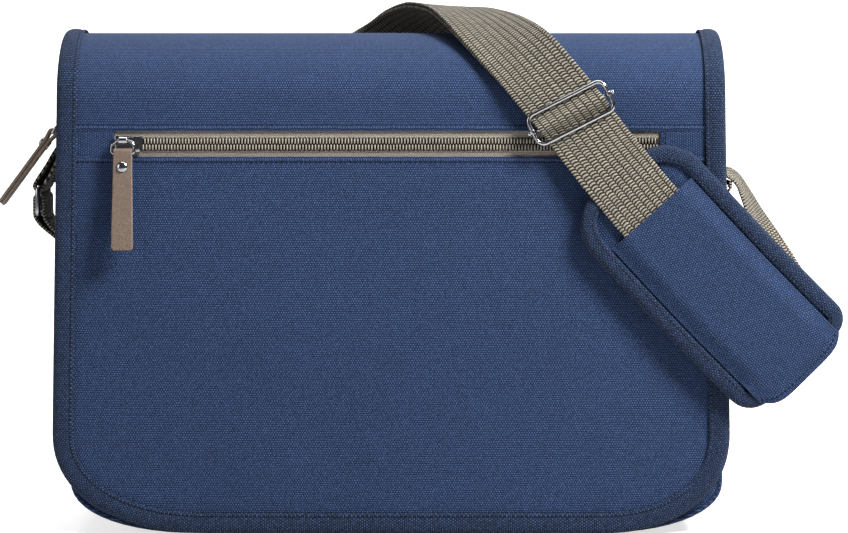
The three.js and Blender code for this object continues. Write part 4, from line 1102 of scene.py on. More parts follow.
def coil_material(fittings):
    """Satin zip coil."""
    name = "coil"
    if name in bpy.data.materials:
        return bpy.data.materials[name]
    material, w, shader = new_material(name)
    mottle = w.noise(w.place(), 800.0, 2.0)
    w.feed(shader.inputs["Base Color"], w.scaled(opaque(fittings.coil), w.fit(mottle, 0.6, 0.7)))
    w.feed(shader.inputs["Roughness"], w.fit(mottle, 0.2, 0.35))
    return material


def backdrop_material(stage):
    """Plain pale floor and backdrop, clear when seen from behind."""
    material, w, shader = new_material("backdrop")
    grain = w.noise(w.place(), 30.0, 2.0)
    w.feed(shader.inputs["Base Color"], w.scaled(opaque(stage.floor), w.fit(grain, 0.02, 0.99)))
    shader.inputs["Roughness"].default_value = 0.95
    behind = w.node("ShaderNodeNewGeometry").outputs["Backfacing"]
    w.feed(shader.inputs["Alpha"], w.math("SUBTRACT", 1.0, behind))
    seen = w.node("ShaderNodeLightPath").outputs["Is Camera Ray"]
    w.feed(shader.inputs["Emission Strength"], w.times(seen, stage.floor_glow))
    shader.inputs["Emission Color"].default_value = (1, 1, 1, 1)
    return material


# Flap


def flap_columns(middle_step=6):
    """Places across the flap, close together where its corners turn up."""
    left, right = FLAP_CORNER["left"], FLAP_CORNER["right"]
    bend = soft_corner(1, 1, FLAP_CORNER["power"], 13)[0][1:]
    inner = np.append(np.arange(left - FLAP_EDGE, FLAP_EDGE - right, middle_step), FLAP_EDGE - right)
    return np.concatenate([-(FLAP_EDGE - left + left * bend)[::-1], inner, FLAP_EDGE - right + right * bend])


BINDING_SECTION = (
    (9.4, 4.2),
    (9.2, 4.75),
    (8.7, 4.9),
    (8.2, 4.55),
    (7.8, 4.3),
    (7.4, 4.55),
    (6.2, 5.0),
    (4.8, 5.2),
    (2.6, 5.2),
    (0.6, 4.7),
    (-0.7, 3.6),
    (-1.3, 1.75),
    (-0.7, -0.1),
    (0.6, -0.95),
    (2.6, -1.25),
    (9.2, -1.1),
)
BINDING_STITCH = 7.8
BINDING_STITCH_RISE = 1.6


def inset_line(line, distance):
    """A line of places across and along, moved in from an edge whose inside lies to its right."""
    return line - distance * normals(line)


def folded_tape(name, line, section, surface, closed=False):
    """A tape folded over an edge: line holds places across and along, section goes in and out from it."""
    profile = resample(curve_points(section, 6), 40)
    width = lengths(profile)
    profile_normals = normals(profile)
    if closed:
        along = lengths(np.vstack([line, line[:1]]))
        inward = -normals(np.vstack([line[-1:], line, line[:1]]))[1:-1]
    else:
        along = lengths(line)
        inward = -normals(line)

    def tape(u, v, out):
        k = np.rint(v).astype(int) % len(line)
        inset, rise = columns_at(u, width, profile)
        normal_in, normal_out = columns_at(u, width, profile_normals)
        inset, rise = inset + normal_in * out, rise + normal_out * out
        return surface(line[k, 0] + inward[k, 0] * inset, line[k, 1] + inward[k, 1] * inset, rise)

    stations = np.arange(len(along))
    piece = laid_grid(name, width, stations, tape, lambda u, v: (u, along[v.astype(int)]))
    if closed:
        merge_points(piece)
    thicken(piece, 0.75, rim=0.25, offset=-1)
    return piece


class BAG_OT_flap(bpy.types.Operator):
    """Lays the flap's cloths over the body, binds their edge and sews them"""

    bl_idname = "bag.flap"
    bl_label = "Flap"

    def execute(self, context):
        cloth = context.scene.bag_cloth
        canvas = canvas_material(cloth)
        columns = flap_columns()
        lip = np.linspace(0, LIP_REACH, 9)
        over = np.linspace(0, FRONT_START, 34)[:-1]
        to_slot = np.linspace(FRONT_START, SLOT_TOP - LIP_REACH - 0.5, 5)
        to_hem = np.linspace(SLOT_BOTTOM + LIP_REACH + 0.5, HEM_EDGE, 45)
        whole = np.concatenate([over, np.linspace(FRONT_START, HEM_EDGE, 50)])
        top = np.concatenate([over, to_slot, lip + SLOT_TOP - LIP_REACH])
        pocket = np.concatenate([lip + SLOT_BOTTOM, to_hem])
        for name, rows, (inner, thickness), surface, node in (
            ("flap_lining", whole, LAYER["backing"], flap_cloth_point, "flap_backing"),
            ("flap_upper_cloth", top, LAYER["cloth"], flap_point, "flap_top"),
            ("flap_pocket_cloth", pocket, LAYER["cloth"], flap_cloth_point, "flap_pocket"),
        ):
            lipped = 0 if name == "flap_lining" else 1
            hemmed = surface is flap_cloth_point
            piece = laid_grid(
                name,
                columns,
                rows,
                lambda u, v, out: surface(u, v, inner + out + lipped * slot_lip(v)),
                (lambda u, v: (u, hem_along(u, v))) if hemmed else None,
            )
            thicken(piece, thickness)
            finish_piece(piece, canvas, "canvas_blue", "bag", node)
            area = sum(face.area for face in piece.data.polygons) / 2
            width, length = 2 * FLAP_EDGE * MM, (rows[-1] - rows[0]) * MM
            area = min(area, width * length)
        edge = flap_edge()
        binding = folded_tape("flap_edge_binding", edge, BINDING_SECTION, flap_point)
        finish_piece(binding, binding_material(cloth), "binding_navy", "bag", "flap_binding")
        self.sew(cloth, edge)
        return {"FINISHED"}

    def sew(self, cloth, edge):
        """The stitches of the binding and of the two edges of the zip slot."""
        across, along = inset_line(edge, BINDING_STITCH).T
        surface_top = sum(LAYER["cloth"])
        inside = np.linspace(SLOT_SEAM_END - FLAP_EDGE, FLAP_EDGE - SLOT_SEAM_END, 160)
        for name, u, v, rise in (
            ("binding_stitches", across, along, BINDING_STITCH_RISE),
            ("slot_upper_stitches", inside, 0 * inside + SLOT_TOP - SLOT_STITCH["upper"], STITCH_RISE),
            ("slot_lower_stitches", inside, 0 * inside + SLOT_BOTTOM + SLOT_STITCH["lower"], STITCH_RISE),
        ):
            row = surface_row(name, flap_point, u, v, surface_top + rise, cloth)
            finish_piece(row, seam_thread(cloth), "binding_navy", "bag")


# Zips and their pulls


def tooth_model(name):
    """One turn of a zip coil: a bar rounded over its top."""
    model = block(name, TOOTH["size"])

    def shape():
        bpy.ops.mesh.select_mode(type="EDGE")
        bpy.ops.mesh.bevel(offset=TOOTH["round"] * MM, offset_type="OFFSET", segments=1, affect="EDGES")

    edit(model, shape)
    return model


def coil_rows(name, surface, run, middle, base, pitch):
    """The two meshed rows of a zip coil, along a surface."""
    places = np.arange(run[0] + 1, run[1] - 1, pitch / MM)
    matrices = []
    for side, lag in ((-1, 0.0), (1, 0.5)):
        across = places + lag * pitch / MM
        along = 0 * across + middle + side * TOOTH["offset"]
        spot = surface(across, along, base)
        out = surface(across, along, base + 1) - spot
        ahead = surface(across + 1, along, base) - spot
        matrices += [frame_matrix(p * MM, a, o) for p, a, o in zip(spot, ahead, out)]
    return copies(name, tooth_model(name), matrices)


def slider_pieces(name, place):
    """A zip slider in its own frame: X along the zip, Z out from the tape."""
    plate = block(name, SLIDER["plate"], (0, 0, SLIDER["rise"]))
    points = get_points(plate)
    points[:, 1] *= np.where(points[:, 0] > 0, SLIDER["taper"], 1.0)
    set_points(plate, points)
    edit(plate, lambda: bpy.ops.mesh.subdivide(number_cuts=3))
    points = get_points(plate) / MM
    points[:, 1] *= 1 - SLIDER["waist"] * mound(points[:, 0], SLIDER["waist_at"], SLIDER["waist_width"])
    fall = SLIDER["fall"] * (np.abs(points[:, 0]) / SLIDER["plate"][0] * 2) ** 2
    points[:, 2] -= np.where(points[:, 2] > SLIDER["rise"], fall, 0)
    set_points(plate, points * MM)
    round_edges(plate, 0.5, 3, 45)
    bpy.ops.object.shade_smooth_by_angle(angle=math.radians(35))
    rails = []
    for side in (-1, 1):
        rail = block(name + "_rail", SLIDER["rail"], (0, side * SLIDER["rail_y"], SLIDER["rail_z"]))
        round_edges(rail, 0.25, 2)
        rails.append(rail)
    nose = block(name + "_nose", SLIDER["nose"], SLIDER["nose_at"])
    round_edges(nose, 0.4, 3)
    slider = joined(name, plate, *rails, nose)
    slider.data.transform(place)
    return slider


def slider_bail(name, centre, along_axis, place):
    """The small arch on a slider that the pull's ring hangs in."""
    arch = np.linspace(-0.5 * np.pi, 1.5 * np.pi, 41)

    def surface(u, v, out):
        radius = BAIL["radius"] + out
        y = radius * np.cos(v)
        z = BAIL["height"] * radius * np.sin(v)
        points = np.stack([u + 0 * v, y, z], axis=-1)
        return points if along_axis else points[..., [1, 0, 2]] * np.array([1, -1, 1])

    piece = laid_grid(name, np.linspace(-BAIL["half"], BAIL["half"], 9), arch, surface)
    merge_points(piece)
    thicken(piece, 1.0, rim=0.3)
    piece.data.transform(place @ Matrix.Translation(Vector(centre) * MM))
    return piece


PULL_RING = {"width": 12.6, "drop": 7.5, "wire": 0.8, "corners": (1.5, 4.4)}
PULL_TAB = {"length": 57.6, "top": 10.2, "end": 12, "layer": 1.8, "corner": 1.6, "rivet": 15.2}
PULL_NECK = {"start": 6.2, "middle": 3.2, "half": 0.5}


def leather_tab(name, place, length):
    """A strip of leather folded over the ring's bar, in the pull's frame."""
    hole = PULL_RING["wire"] + GAP
    outer = hole + PULL_TAB["layer"]
    bar = -PULL_RING["drop"]
    low = bar + outer - length
    corner = PULL_TAB["corner"]
    front = [(-GAP / 2, z) for z in np.linspace(low, bar - PULL_NECK["start"], 30)]
    back = [(-y, z) for y, z in front[::-1]]
    bend = [(-hole * np.cos(t), bar + hole * np.sin(t)) for t in np.linspace(0, np.pi, 17)]
    neck_half, neck = PULL_NECK["half"], bar - PULL_NECK["middle"]
    path = np.array(front + [(-neck_half, neck)] + bend + [(neck_half, neck)] + back)
    path = resample(path, 130)
    run = lengths(path)
    path_normals = normals(path)

    def surface(u, v, out):
        y, z = columns_at(v, run, path)
        ny, nz = columns_at(v, run, path_normals)
        share = np.clip((bar + outer - z) / length, 0, 1)
        half = (PULL_TAB["top"] + (PULL_TAB["end"] - PULL_TAB["top"]) * share) / 2
        near = np.clip(corner - (z - low), 0, corner)
        half = half - corner + np.sqrt(np.maximum(corner**2 - near**2, 0))
        return np.stack([u * half, y + ny * out, z + nz * out], axis=-1)

    tab = laid_grid(name, np.linspace(-1, 1, 15), run, surface)
    tab.data.uv_layers["cloth"].uv.foreach_set("vector", np.zeros(len(tab.data.loops) * 2))
    thicken(tab, PULL_TAB["layer"], rim=0.45)
    facing = np.empty(len(tab.data.polygons) * 3)
    tab.data.polygons.foreach_get("normal", facing)
    cut = np.clip(np.abs(facing.reshape(-1, 3)[:, 0]) * 1.4 - 0.4, 0, 1)
    layer = tab.data.attributes.new("cut_edge", "FLOAT", "FACE")
    layer.data.foreach_set("value", cut)
    tab.data.transform(place)
    return tab


def rivet(name, place):
    """A domed rivet through both layers of the leather."""
    seat = PULL_TAB["layer"] + GAP / 2
    turn = np.linspace(0, np.pi / 2, 9)
    head = [(3.1 * math.cos(t), seat + 0.25 + 1.45 * math.sin(t)) for t in turn[:-1]]
    back = [(0, 0.9), (2.5, 0.9), (2.8, 0.6), (2.8, 0.1), (1.2, 0.1)]
    profile = [(radius, -seat - rise) for radius, rise in back]
    profile += [(1.2, seat + 0.05), (2.9, seat + 0.05)] + head + [(0, seat + 1.7)]
    drop = Matrix.Translation((0, 0, -PULL_TAB["rivet"] * MM))
    return turned_piece(name, profile, 28, place @ drop @ Matrix.Rotation(math.pi / 2, 4, "X"))


def pull_pieces(prefix, body, place, length, node_prefix, fittings):
    """The ring, the leather tab and the rivet of a pull."""
    metal = metal_material(fittings)
    width, drop, wire = PULL_RING["width"], PULL_RING["drop"], PULL_RING["wire"]
    ring_place = place @ Matrix.Translation((0, 0, -drop / 2 * MM))
    ring = wire_loop(prefix + "_wire_ring", width, drop, PULL_RING["corners"], wire, ring_place)
    finish_piece(ring, metal, "metal", body, node_prefix + "ring")
    tab = leather_tab(prefix + "_leather", place, length)
    finish_piece(tab, leather_material(fittings), "leather_taupe", body, node_prefix + "tab")
    head = rivet(prefix + "_dome_rivet", place)
    finish_piece(head, metal, "metal", body, node_prefix + "rivet")


HINGE_RISE = 6.6
SLIDER_ALONG = -3
SLIDER_ACROSS = 2.1


class BAG_OT_pocket_zip(bpy.types.Operator):
    """Sets the zip, its end tabs, slider and pull in the flap's slot"""

    bl_idname = "bag.pocket_zip"
    bl_label = "Pocket Zip"

    def execute(self, context):
        scene = context.scene
        cloth, webbing, fittings = scene.bag_cloth, scene.bag_webbing, scene.bag_fittings
        self.tapes(webbing)
        self.coil(cloth, webbing, fittings)
        self.end_tabs(cloth)
        self.slider(fittings)
        return {"FINISHED"}

    def tapes(self, webbing):
        """The two tapes, whose ribs slant against each other."""
        inner, thickness = LAYER["tape"]
        columns = np.linspace(-TAPE["half_run"], TAPE["half_run"], 90)
        for name, rows, slant, node in (
            ("zip_upper_tape", (SLOT_TOP - TAPE["tuck"], ZIP_LINE - 0.1), -TAPE["slant"], "zip_tape_upper"),
            ("zip_lower_tape", (ZIP_LINE + 0.1, SLOT_BOTTOM + TAPE["tuck"]), TAPE["slant"], "zip_tape_lower"),
        ):
            places = np.linspace(*rows, 9)
            tape = laid_grid(name, columns, places, lambda u, v, out: flap_point(u, v, inner + out))
            thicken(tape, thickness, rim=0.15)
            finish_piece(tape, twill_material(name + "_twill", webbing, slant), "zip_tape", "bag", node)

    def coil(self, cloth, webbing, fittings):
        """The teeth, the cord inside them, coloured near black as painted shade between the teeth, and the
        rows of stitches that hold them.
        """
        base = LAYER["coil"][0]
        rise = base + TOOTH["rise"]
        teeth = coil_rows("zip_teeth", flap_point, COIL_RUN, ZIP_LINE, rise, webbing.tooth_pitch)
        finish_piece(teeth, coil_material(fittings), "zip_coil", "bag", "zip_coil")
        # Painted shade: the real cord in the coil is coloured near black to stand for the shade between the
        # teeth; the same material sews the coil
        cord = thread_material("zip_core_cord", fittings.core)
        core = laid_grid(
            "zip_core",
            np.linspace(*COIL_RUN, 80),
            np.linspace(ZIP_LINE - CORE["half"], ZIP_LINE + CORE["half"], 5),
            lambda u, v, out: flap_point(u, v, base + CORE["rise"] + out),
        )
        thicken(core, CORE["thick"], rim=0.2, offset=-1)
        finish_piece(core, cord, "zip_coil", "bag")
        run = np.linspace(*COIL_RUN, 160)
        stitch_height = sum(LAYER["tape"]) + CORE["stitch_rise"]
        for name, side in (("coil_upper_stitches", -1), ("coil_lower_stitches", 1)):
            line = 0 * run + ZIP_LINE + side * CORE["stitch"]
            row = surface_row(name, flap_point, run, line, stitch_height, cloth)
            finish_piece(row, cord, "zip_tape", "bag")

    def end_tabs(self, cloth):
        """The folded cloth tabs that close both ends of the slot."""
        inner, thickness = LAYER["tab"]
        rows = np.linspace(SLOT_TOP + GAP, SLOT_BOTTOM - GAP, 7)
        line = np.linspace(SLOT_TOP, SLOT_BOTTOM, 30)
        height = inner + thickness + STITCH_RISE
        for name, edges, stitch_x, node in (
            ("zip_left_tab", ZIP_TABS["left"], ZIP_TABS["left_stitch"], "zip_end_left"),
            ("zip_right_tab", ZIP_TABS["right"], ZIP_TABS["right_stitch"], "zip_end_right"),
        ):
            columns = np.linspace(*edges, 12)
            tab = laid_grid(
                name, columns, rows, lambda u, v, out: flap_point(u, v, inner + out), lambda u, v: (v, u)
            )
            thicken(tab, thickness)
            finish_piece(tab, canvas_material(cloth), "canvas_blue", "bag", node)
            row = surface_row(name + "_stitches", flap_point, 0 * line + stitch_x, line, height, cloth)
            finish_piece(row, seam_thread(cloth), "binding_navy", "bag")

    def slider(self, fittings):
        """The slider, square to the flap, and its pull."""
        seat = sum(LAYER["tape"])
        middle = np.array(SLIDER_X), np.array(ZIP_LINE)
        spot = flap_point(*middle, seat)
        out = flap_point(*middle, seat + 1) - spot
        lean = math.atan2(out[2], -out[1])
        place = Matrix.Translation(Vector(spot * MM)) @ Matrix.Rotation(math.pi / 2 - lean, 4, "X")
        bail_spot = (SLIDER_ALONG, SLIDER_ACROSS, HINGE_RISE)
        slider = slider_pieces("zip_slider_body", place)
        slider = joined("zip_slider_body", slider, slider_bail("zip_slider_bail", bail_spot, True, place))
        finish_piece(slider, metal_material(fittings), "metal", "bag", "zip_slider")
        hinge = place @ (Vector(bail_spot) * MM)
        hang = Matrix.Translation(hinge) @ Matrix.Rotation(-lean - math.radians(PULL_LEAN), 4, "X")
        pull_pieces("front_pull", "front_pull", hang, PULL_TAB["length"], "pull_", fittings)


# Body


HALF_BODY = BODY["width"] / 2


def body_outline(inset, top_z, steps=14):
    """The body's outline from the front: down the left side, along the base and up the right."""
    straight = HALF_BODY - BASE_CORNER["run"]
    reach, rise = soft_corner(BASE_CORNER["run"], BASE_CORNER["rise"], BASE_CORNER["power"], steps)
    corner = np.stack([straight + reach, rise], axis=1)
    side = np.linspace(corner[-1], [HALF_BODY, top_z], 24)[1:]
    right = np.vstack([corner, side])
    base = np.linspace([-straight, 0], [straight, 0], 24)[1:-1]
    line = np.vstack([right[::-1] * MIRROR, base, right])
    return line + normals(line) * inset


def top_line(radius, corner_steps, steps):
    """The body's top from the front, left to right, with a round corner at each end."""
    bend = np.linspace(0, np.pi / 2, corner_steps)
    centre, height = HALF_BODY - TOP_EDGE_RADIUS, BODY["height"] - TOP_EDGE_RADIUS
    right = np.stack([centre + radius * np.sin(bend), height + radius * np.cos(bend)], axis=1)
    left = right[::-1] * MIRROR
    return np.vstack([left, np.linspace(left[-1], right[0], steps)[1:-1], right])


def drawn_back(line):
    """A surface that carries a line from the front back through the body, and the line's run."""
    run = lengths(line)
    line_normals = normals(line)

    def surface(along, y, out):
        x, z = columns_at(along, run, line)
        nx, nz = columns_at(along, run, line_normals)
        return np.stack([x + BODY["shift"] + nx * out, y + 0 * along, z + nz * out], axis=-1)

    return surface, run


class BAG_OT_body(bpy.types.Operator):
    """Builds the gusset, the two faces and the top of the body"""

    bl_idname = "bag.body"
    bl_label = "Body"

    def execute(self, context):
        cloth = context.scene.bag_cloth
        canvas = canvas_material(cloth)
        self.gusset(canvas)
        for name, side, node in (("body_front", -1, "front_panel"), ("body_back", 1, "back_panel")):
            self.face(name, side, node, canvas)
        half_top = BODY["top_depth"] / 2 - BODY["wall"]
        half_slot = MAIN_ZIP["slot"] / 2
        for name, near, far, node in (
            ("body_top_front", -half_top, MAIN_ZIP["y"] - half_slot, "top_strip_front"),
            ("body_top_back", MAIN_ZIP["y"] + half_slot, half_top, "top_strip_back"),
        ):
            self.top(name, near, far, node, canvas)
        self.sew(cloth)
        return {"FINISHED"}

    def gusset(self, canvas):
        """One strip round both sides and the base, whose edges turn in to the seams."""
        top_z = BODY["height"] - TOP_EDGE_RADIUS - GAP
        line = body_outline(BODY["wall"], top_z)
        outward = (body_outline(0, top_z) - line) / BODY["wall"]
        run = lengths(line)
        share = np.concatenate([[-1, -0.985, -0.96], np.linspace(-0.92, 0.92, 19), [0.96, 0.985, 1]])

        def surface(u, v, out):
            x, z = columns_at(v, run, line)
            ox, oz = columns_at(v, run, outward)
            hollow = HOLLOW["depth"] * (1 - u**2) * smoothstep(z, *HOLLOW["rise_z"])
            hollow = hollow * (1 - smoothstep(z, *HOLLOW["end_z"]))
            fold = GUSSET["fold"] * smoothstep(np.abs(u), GUSSET["fold_at"], 1)
            reach = out - hollow - fold
            return np.stack([x + BODY["shift"] + ox * reach, u * half_depth(z), z + oz * reach], axis=-1)

        piece = laid_grid("body_gusset", share, run, surface)
        thicken(piece, BODY["wall"] * GUSSET["wall"], rim=0.6)
        x, y, z = (get_points(piece) / MM).T
        set_cloth_map(piece, y, np.where(np.abs(x) > GUSSET["weave_turn"], z, x))
        finish_piece(piece, canvas, "canvas_blue", "bag", "gusset")

    def face(self, name, side, node, canvas):
        """A face of the body, sewn in at the gusset's edge."""
        run, rise, power = BASE_CORNER["run"], BASE_CORNER["rise"], BASE_CORNER["power"]
        inset = BODY["wall"] + GAP
        half = HALF_BODY - inset
        straight = half - run
        bend = straight + soft_corner(run, rise, power, 14)[0][1:]
        columns = np.concatenate([-bend[::-1], np.linspace(-straight, straight, 41), bend])

        def surface(u, v, out):
            low = inset + corner_rise(np.abs(u) - straight, run, rise, power)
            z = low + (BODY["height"] - inset - low) * v
            x = u + BODY["shift"]
            edge = np.minimum(half - np.abs(u), z - low)
            drawn_in = SEAM["sink"] * (1 - smoothstep(edge, 0, SEAM["reach"]))
            depth = half_depth(z) + bulge(x, z) - BODY["wall"] - drawn_in + out
            return np.stack([x, side * depth, z + 0 * u], axis=-1)

        near_seam = np.array([0, 0.004, 0.008, 0.013])
        rows = np.concatenate([near_seam, np.linspace(0.03, 0.985, 34), [1]])
        piece = laid_grid(name, columns, rows, surface)
        thicken(piece, BODY["wall"], rim=0.5)
        points = get_points(piece) / MM
        set_cloth_map(piece, points[:, 0], points[:, 2])
        finish_piece(piece, canvas, "canvas_blue", "bag", node)

    def top(self, name, near, far, node, canvas):
        """One half of the top, beside the main zip."""
        surface, run = drawn_back(top_line(TOP_EDGE_RADIUS - BODY["wall"], 7, 60))
        piece = laid_grid(name, np.linspace(near, far, 9), run, lambda u, v, out: surface(v, u, out))
        thicken(piece, BODY["wall"])
        finish_piece(piece, canvas, "canvas_blue", "bag", node)

    def sew(self, cloth):
        """Stitches inside the seams of the two faces."""
        outline = body_outline(BODY["wall"] + GAP + SEAM["stitch"], BODY["height"] - SEAM["end"])
        x, z = outline[:, 0] + BODY["shift"], outline[:, 1]
        depth = half_depth(z) + bulge(x, z) + STITCH_RISE
        for name, side in (("front_seam_stitches", -1), ("back_seam_stitches", 1)):
            line = np.stack([x, side * depth, z], axis=1)
            row = stitch_row(name, line, np.array([[0, side, 0]] * len(line), float), cloth)
            finish_piece(row, seam_thread(cloth), "binding_navy", "bag")


class BAG_OT_main_zip(bpy.types.Operator):
    """Sets the main zip over the body's top, with its slider and pull at the left"""

    bl_idname = "bag.main_zip"
    bl_label = "Main Zip"

    def execute(self, context):
        webbing, fittings = context.scene.bag_webbing, context.scene.bag_fittings
        top = top_line(TOP_EDGE_RADIUS, 9, 80)
        left = np.linspace([-HALF_BODY, MAIN_ZIP["left_z"]], top[0], 12)[:-1]
        right = np.linspace(top[-1], [HALF_BODY, MAIN_ZIP["right_z"]], 5)[1:]
        surface, run = drawn_back(np.vstack([left, top, right]))
        middle, half = MAIN_ZIP["y"], MAIN_ZIP["tape"] / 2
        rows = np.linspace(middle - half, middle + half, 13)
        tape = laid_grid("main_tape", run, rows, lambda u, v, out: surface(u, v, GAP + out))
        thicken(tape, 1, rim=0.2)
        twill = twill_material("zip_lower_tape_twill", webbing, TAPE["slant"])
        finish_piece(tape, twill, "zip_tape", "bag", "main_zip_tape")
        first, rise = MAIN_ZIP["coil_z"] - MAIN_ZIP["left_z"], MAIN_ZIP["teeth_rise"]
        teeth = coil_rows("main_teeth", surface, (first, run[-1]), middle, rise, webbing.tooth_pitch)
        finish_piece(teeth, coil_material(fittings), "zip_coil", "bag", "main_zip_coil")
        self.slider(fittings)
        return {"FINISHED"}

    def slider(self, fittings):
        """The slider on the bag's left side, and its pull."""
        face = BODY["shift"] - HALF_BODY - GAP - 1
        seat = Vector((face, MAIN_ZIP["y"], MAIN_PULL["z"] - SLIDER_ALONG)) * MM
        place = Matrix.Translation(seat) @ Matrix.Rotation(-math.pi / 2, 4, "Y")
        bail = slider_bail("main_slider_bail", (SLIDER_ALONG, 0, HINGE_RISE), False, place)
        slider = joined("main_slider_body", slider_pieces("main_slider_body", place), bail)
        finish_piece(slider, metal_material(fittings), "metal", "bag", "main_zip_slider")
        hinge = Vector((face - HINGE_RISE, MAIN_ZIP["y"], MAIN_PULL["z"])) * MM
        tilt = Matrix.Rotation(-math.radians(MAIN_PULL["tilt"]), 4, "X")
        hang = Matrix.Translation(hinge) @ Matrix.Rotation(-math.pi / 2, 4, "Z") @ tilt
        pull_pieces("side_pull", "side_pull", hang, MAIN_PULL["length"], "main_pull_", fittings)


# Strap and its fittings


LOOP_RADIUS = RING["wire"] + GAP + STRAP["thickness"] / 2
RIGHT_RING_X = BODY["shift"] + HALF_BODY + GAP + STRAP["thickness"] / 2 + LOOP_RADIUS
LEFT_STRAP_LEAN = 30
LEFT_STRAP_OPEN = 20


def webbing_section(webbing):
    """The ribbed section of the webbing: places across it and heights from its middle."""
    half, thick = STRAP["width"] / 2, STRAP["thickness"] / 2
    inset, drawn_in, corner = SELVEDGE["inset"], SELVEDGE["round"], thick * SELVEDGE["round_at"]
    across = np.linspace(-half + inset, half - inset, webbing.ribs * 4 + 1)
    rib = np.abs(np.sin(np.pi * (across + half) * webbing.ribs / STRAP["width"])) ** 0.6
    groove = webbing.rib_depth / MM * (1 - rib)
    face = np.stack([across, thick - groove * 0.9 - 0.02], axis=1)
    edge = np.array([[half - drawn_in, corner], [half, 0], [half - drawn_in, -corner]])
    back = face[::-1] * np.array([1, -1])
    return np.vstack([face, edge, back, -edge])


def webbing_piece(name, places, webbing):
    """A length of webbing: places[k](across, height) puts its section at station k."""
    section = webbing_section(webbing)
    half = STRAP["width"] / 2
    rows = np.stack([place(section[:, 0], section[:, 1]) for place in places])
    middle = np.stack([place(np.zeros(1), np.zeros(1))[0] for place in places])
    run = lengths(middle)
    rim = smoothstep(np.abs(section[:, 0]), half - SELVEDGE["width"], half)
    scallop = SELVEDGE["depth"] * np.sin(2 * np.pi * run * MM / webbing.bar_pitch / SELVEDGE["bars"])
    outward = np.stack([place(np.ones(1), np.zeros(1))[0] for place in places]) - middle
    rows += outward[:, None, :] * (np.sign(section[:, 0]) * rim)[None, :, None] * scallop[:, None, None]
    return swept_grid(name, rows, section[:, 0] * SELVEDGE["map"] + half, run)


def buckle_lift(along):
    """The webbing's rise over the bar of the strap slider."""
    past = np.clip((along - BUCKLE_ALONG) / BUCKLE_HUMP["half"], -1, 1)
    return BUCKLE_HUMP["height"] * np.cos(np.pi / 2 * past) ** 2


def slant(along):
    """Near the strap slider the webbing is drawn on lines that run along its skewed bar."""
    return BUCKLE_SKEW * (1 - smoothstep(np.abs(along - BUCKLE_ALONG), *SKEW_FADE))


def strap_steps(start, end):
    """Places along the outer layer, close together where it shows and where it bends."""
    sleeve_start, pad_end = PAD_START + SLEEVE["start"], PAD_START + PAD["length"]
    steps = [start]
    while steps[-1] < end - 0.4:
        here = steps[-1]
        near_fold = abs(here - pad_end) < STRAP_STEPS["fold"]
        arch_shows = STRAP_STEPS["shown_from"] < here < sleeve_start + STRAP_STEPS["under_sleeve"]
        end_shows = here > pad_end + STRAP_STEPS["past_pad"]
        near_end = here < STRAP_STEPS["left_bend"] or here > STRAP_LENGTH - STRAP_STEPS["right_bend"]
        place = "shown" if arch_shows or end_shows or near_fold else "bend" if near_end else "hidden"
        steps.append(min(here + STRAP_STEPS[place], end))
    return steps


def ring_turn(x, angle, sign):
    """Webbing round the upper bar of a side ring."""

    def place(across, height):
        reach = LOOP_RADIUS + sign * height
        z = RING["upper_z"] + reach * math.sin(angle)
        return np.stack([x + reach * math.cos(angle), across + 0 * height, z], axis=-1)

    return place


def strap_places():
    """The stations of the whole strap, from the bar of the slider to the right ring."""
    bar_loop = BUCKLE["bar"] + 2 * GAP + STRAP["thickness"] / 2

    def round_bar(angle):
        def place(across, height):
            reach = bar_loop + height
            along = BUCKLE_ALONG + across * BUCKLE_SKEW + reach * math.cos(angle)
            return strap_point(along, across, BUCKLE["bar_rise"] + reach * math.sin(angle))

        return place

    def inner(along):
        open_share = 1 - smoothstep(along, 0, LEFT_STRAP_OPEN)
        step = STRAP["step"] + (2 * LOOP_RADIUS - STRAP["step"]) * open_share
        return lambda across, height: strap_point(along + across * slant(along), across, -step - height)

    def outer(along):
        lift = buckle_lift(along)
        return lambda across, height: strap_point(along + across * slant(along), across, lift + height)

    def end(across, height):
        x = RIGHT_RING_X + LOOP_RADIUS - height
        z = 0 * height + RING["upper_z"] + 1.5 * STRAP["thickness"]
        return np.stack([x, across + 0 * height, z], axis=-1)

    left_turn = np.radians(np.linspace(360 - LEFT_STRAP_LEAN, 180 - LEFT_STRAP_LEAN, 13))
    right_turn = np.radians(np.linspace(180, 360, 13))
    places = [round_bar(angle) for angle in np.radians(np.linspace(90, -90, 11))]
    places += [inner(along) for along in strap_steps(1, BUCKLE_ALONG - 2)[::-1]]
    places += [ring_turn(RING["left_x"], angle, 1) for angle in left_turn]
    places += [outer(along) for along in strap_steps(1, STRAP_LENGTH - 1)]
    places += [ring_turn(RIGHT_RING_X, angle, -1) for angle in right_turn]
    return places + [end]


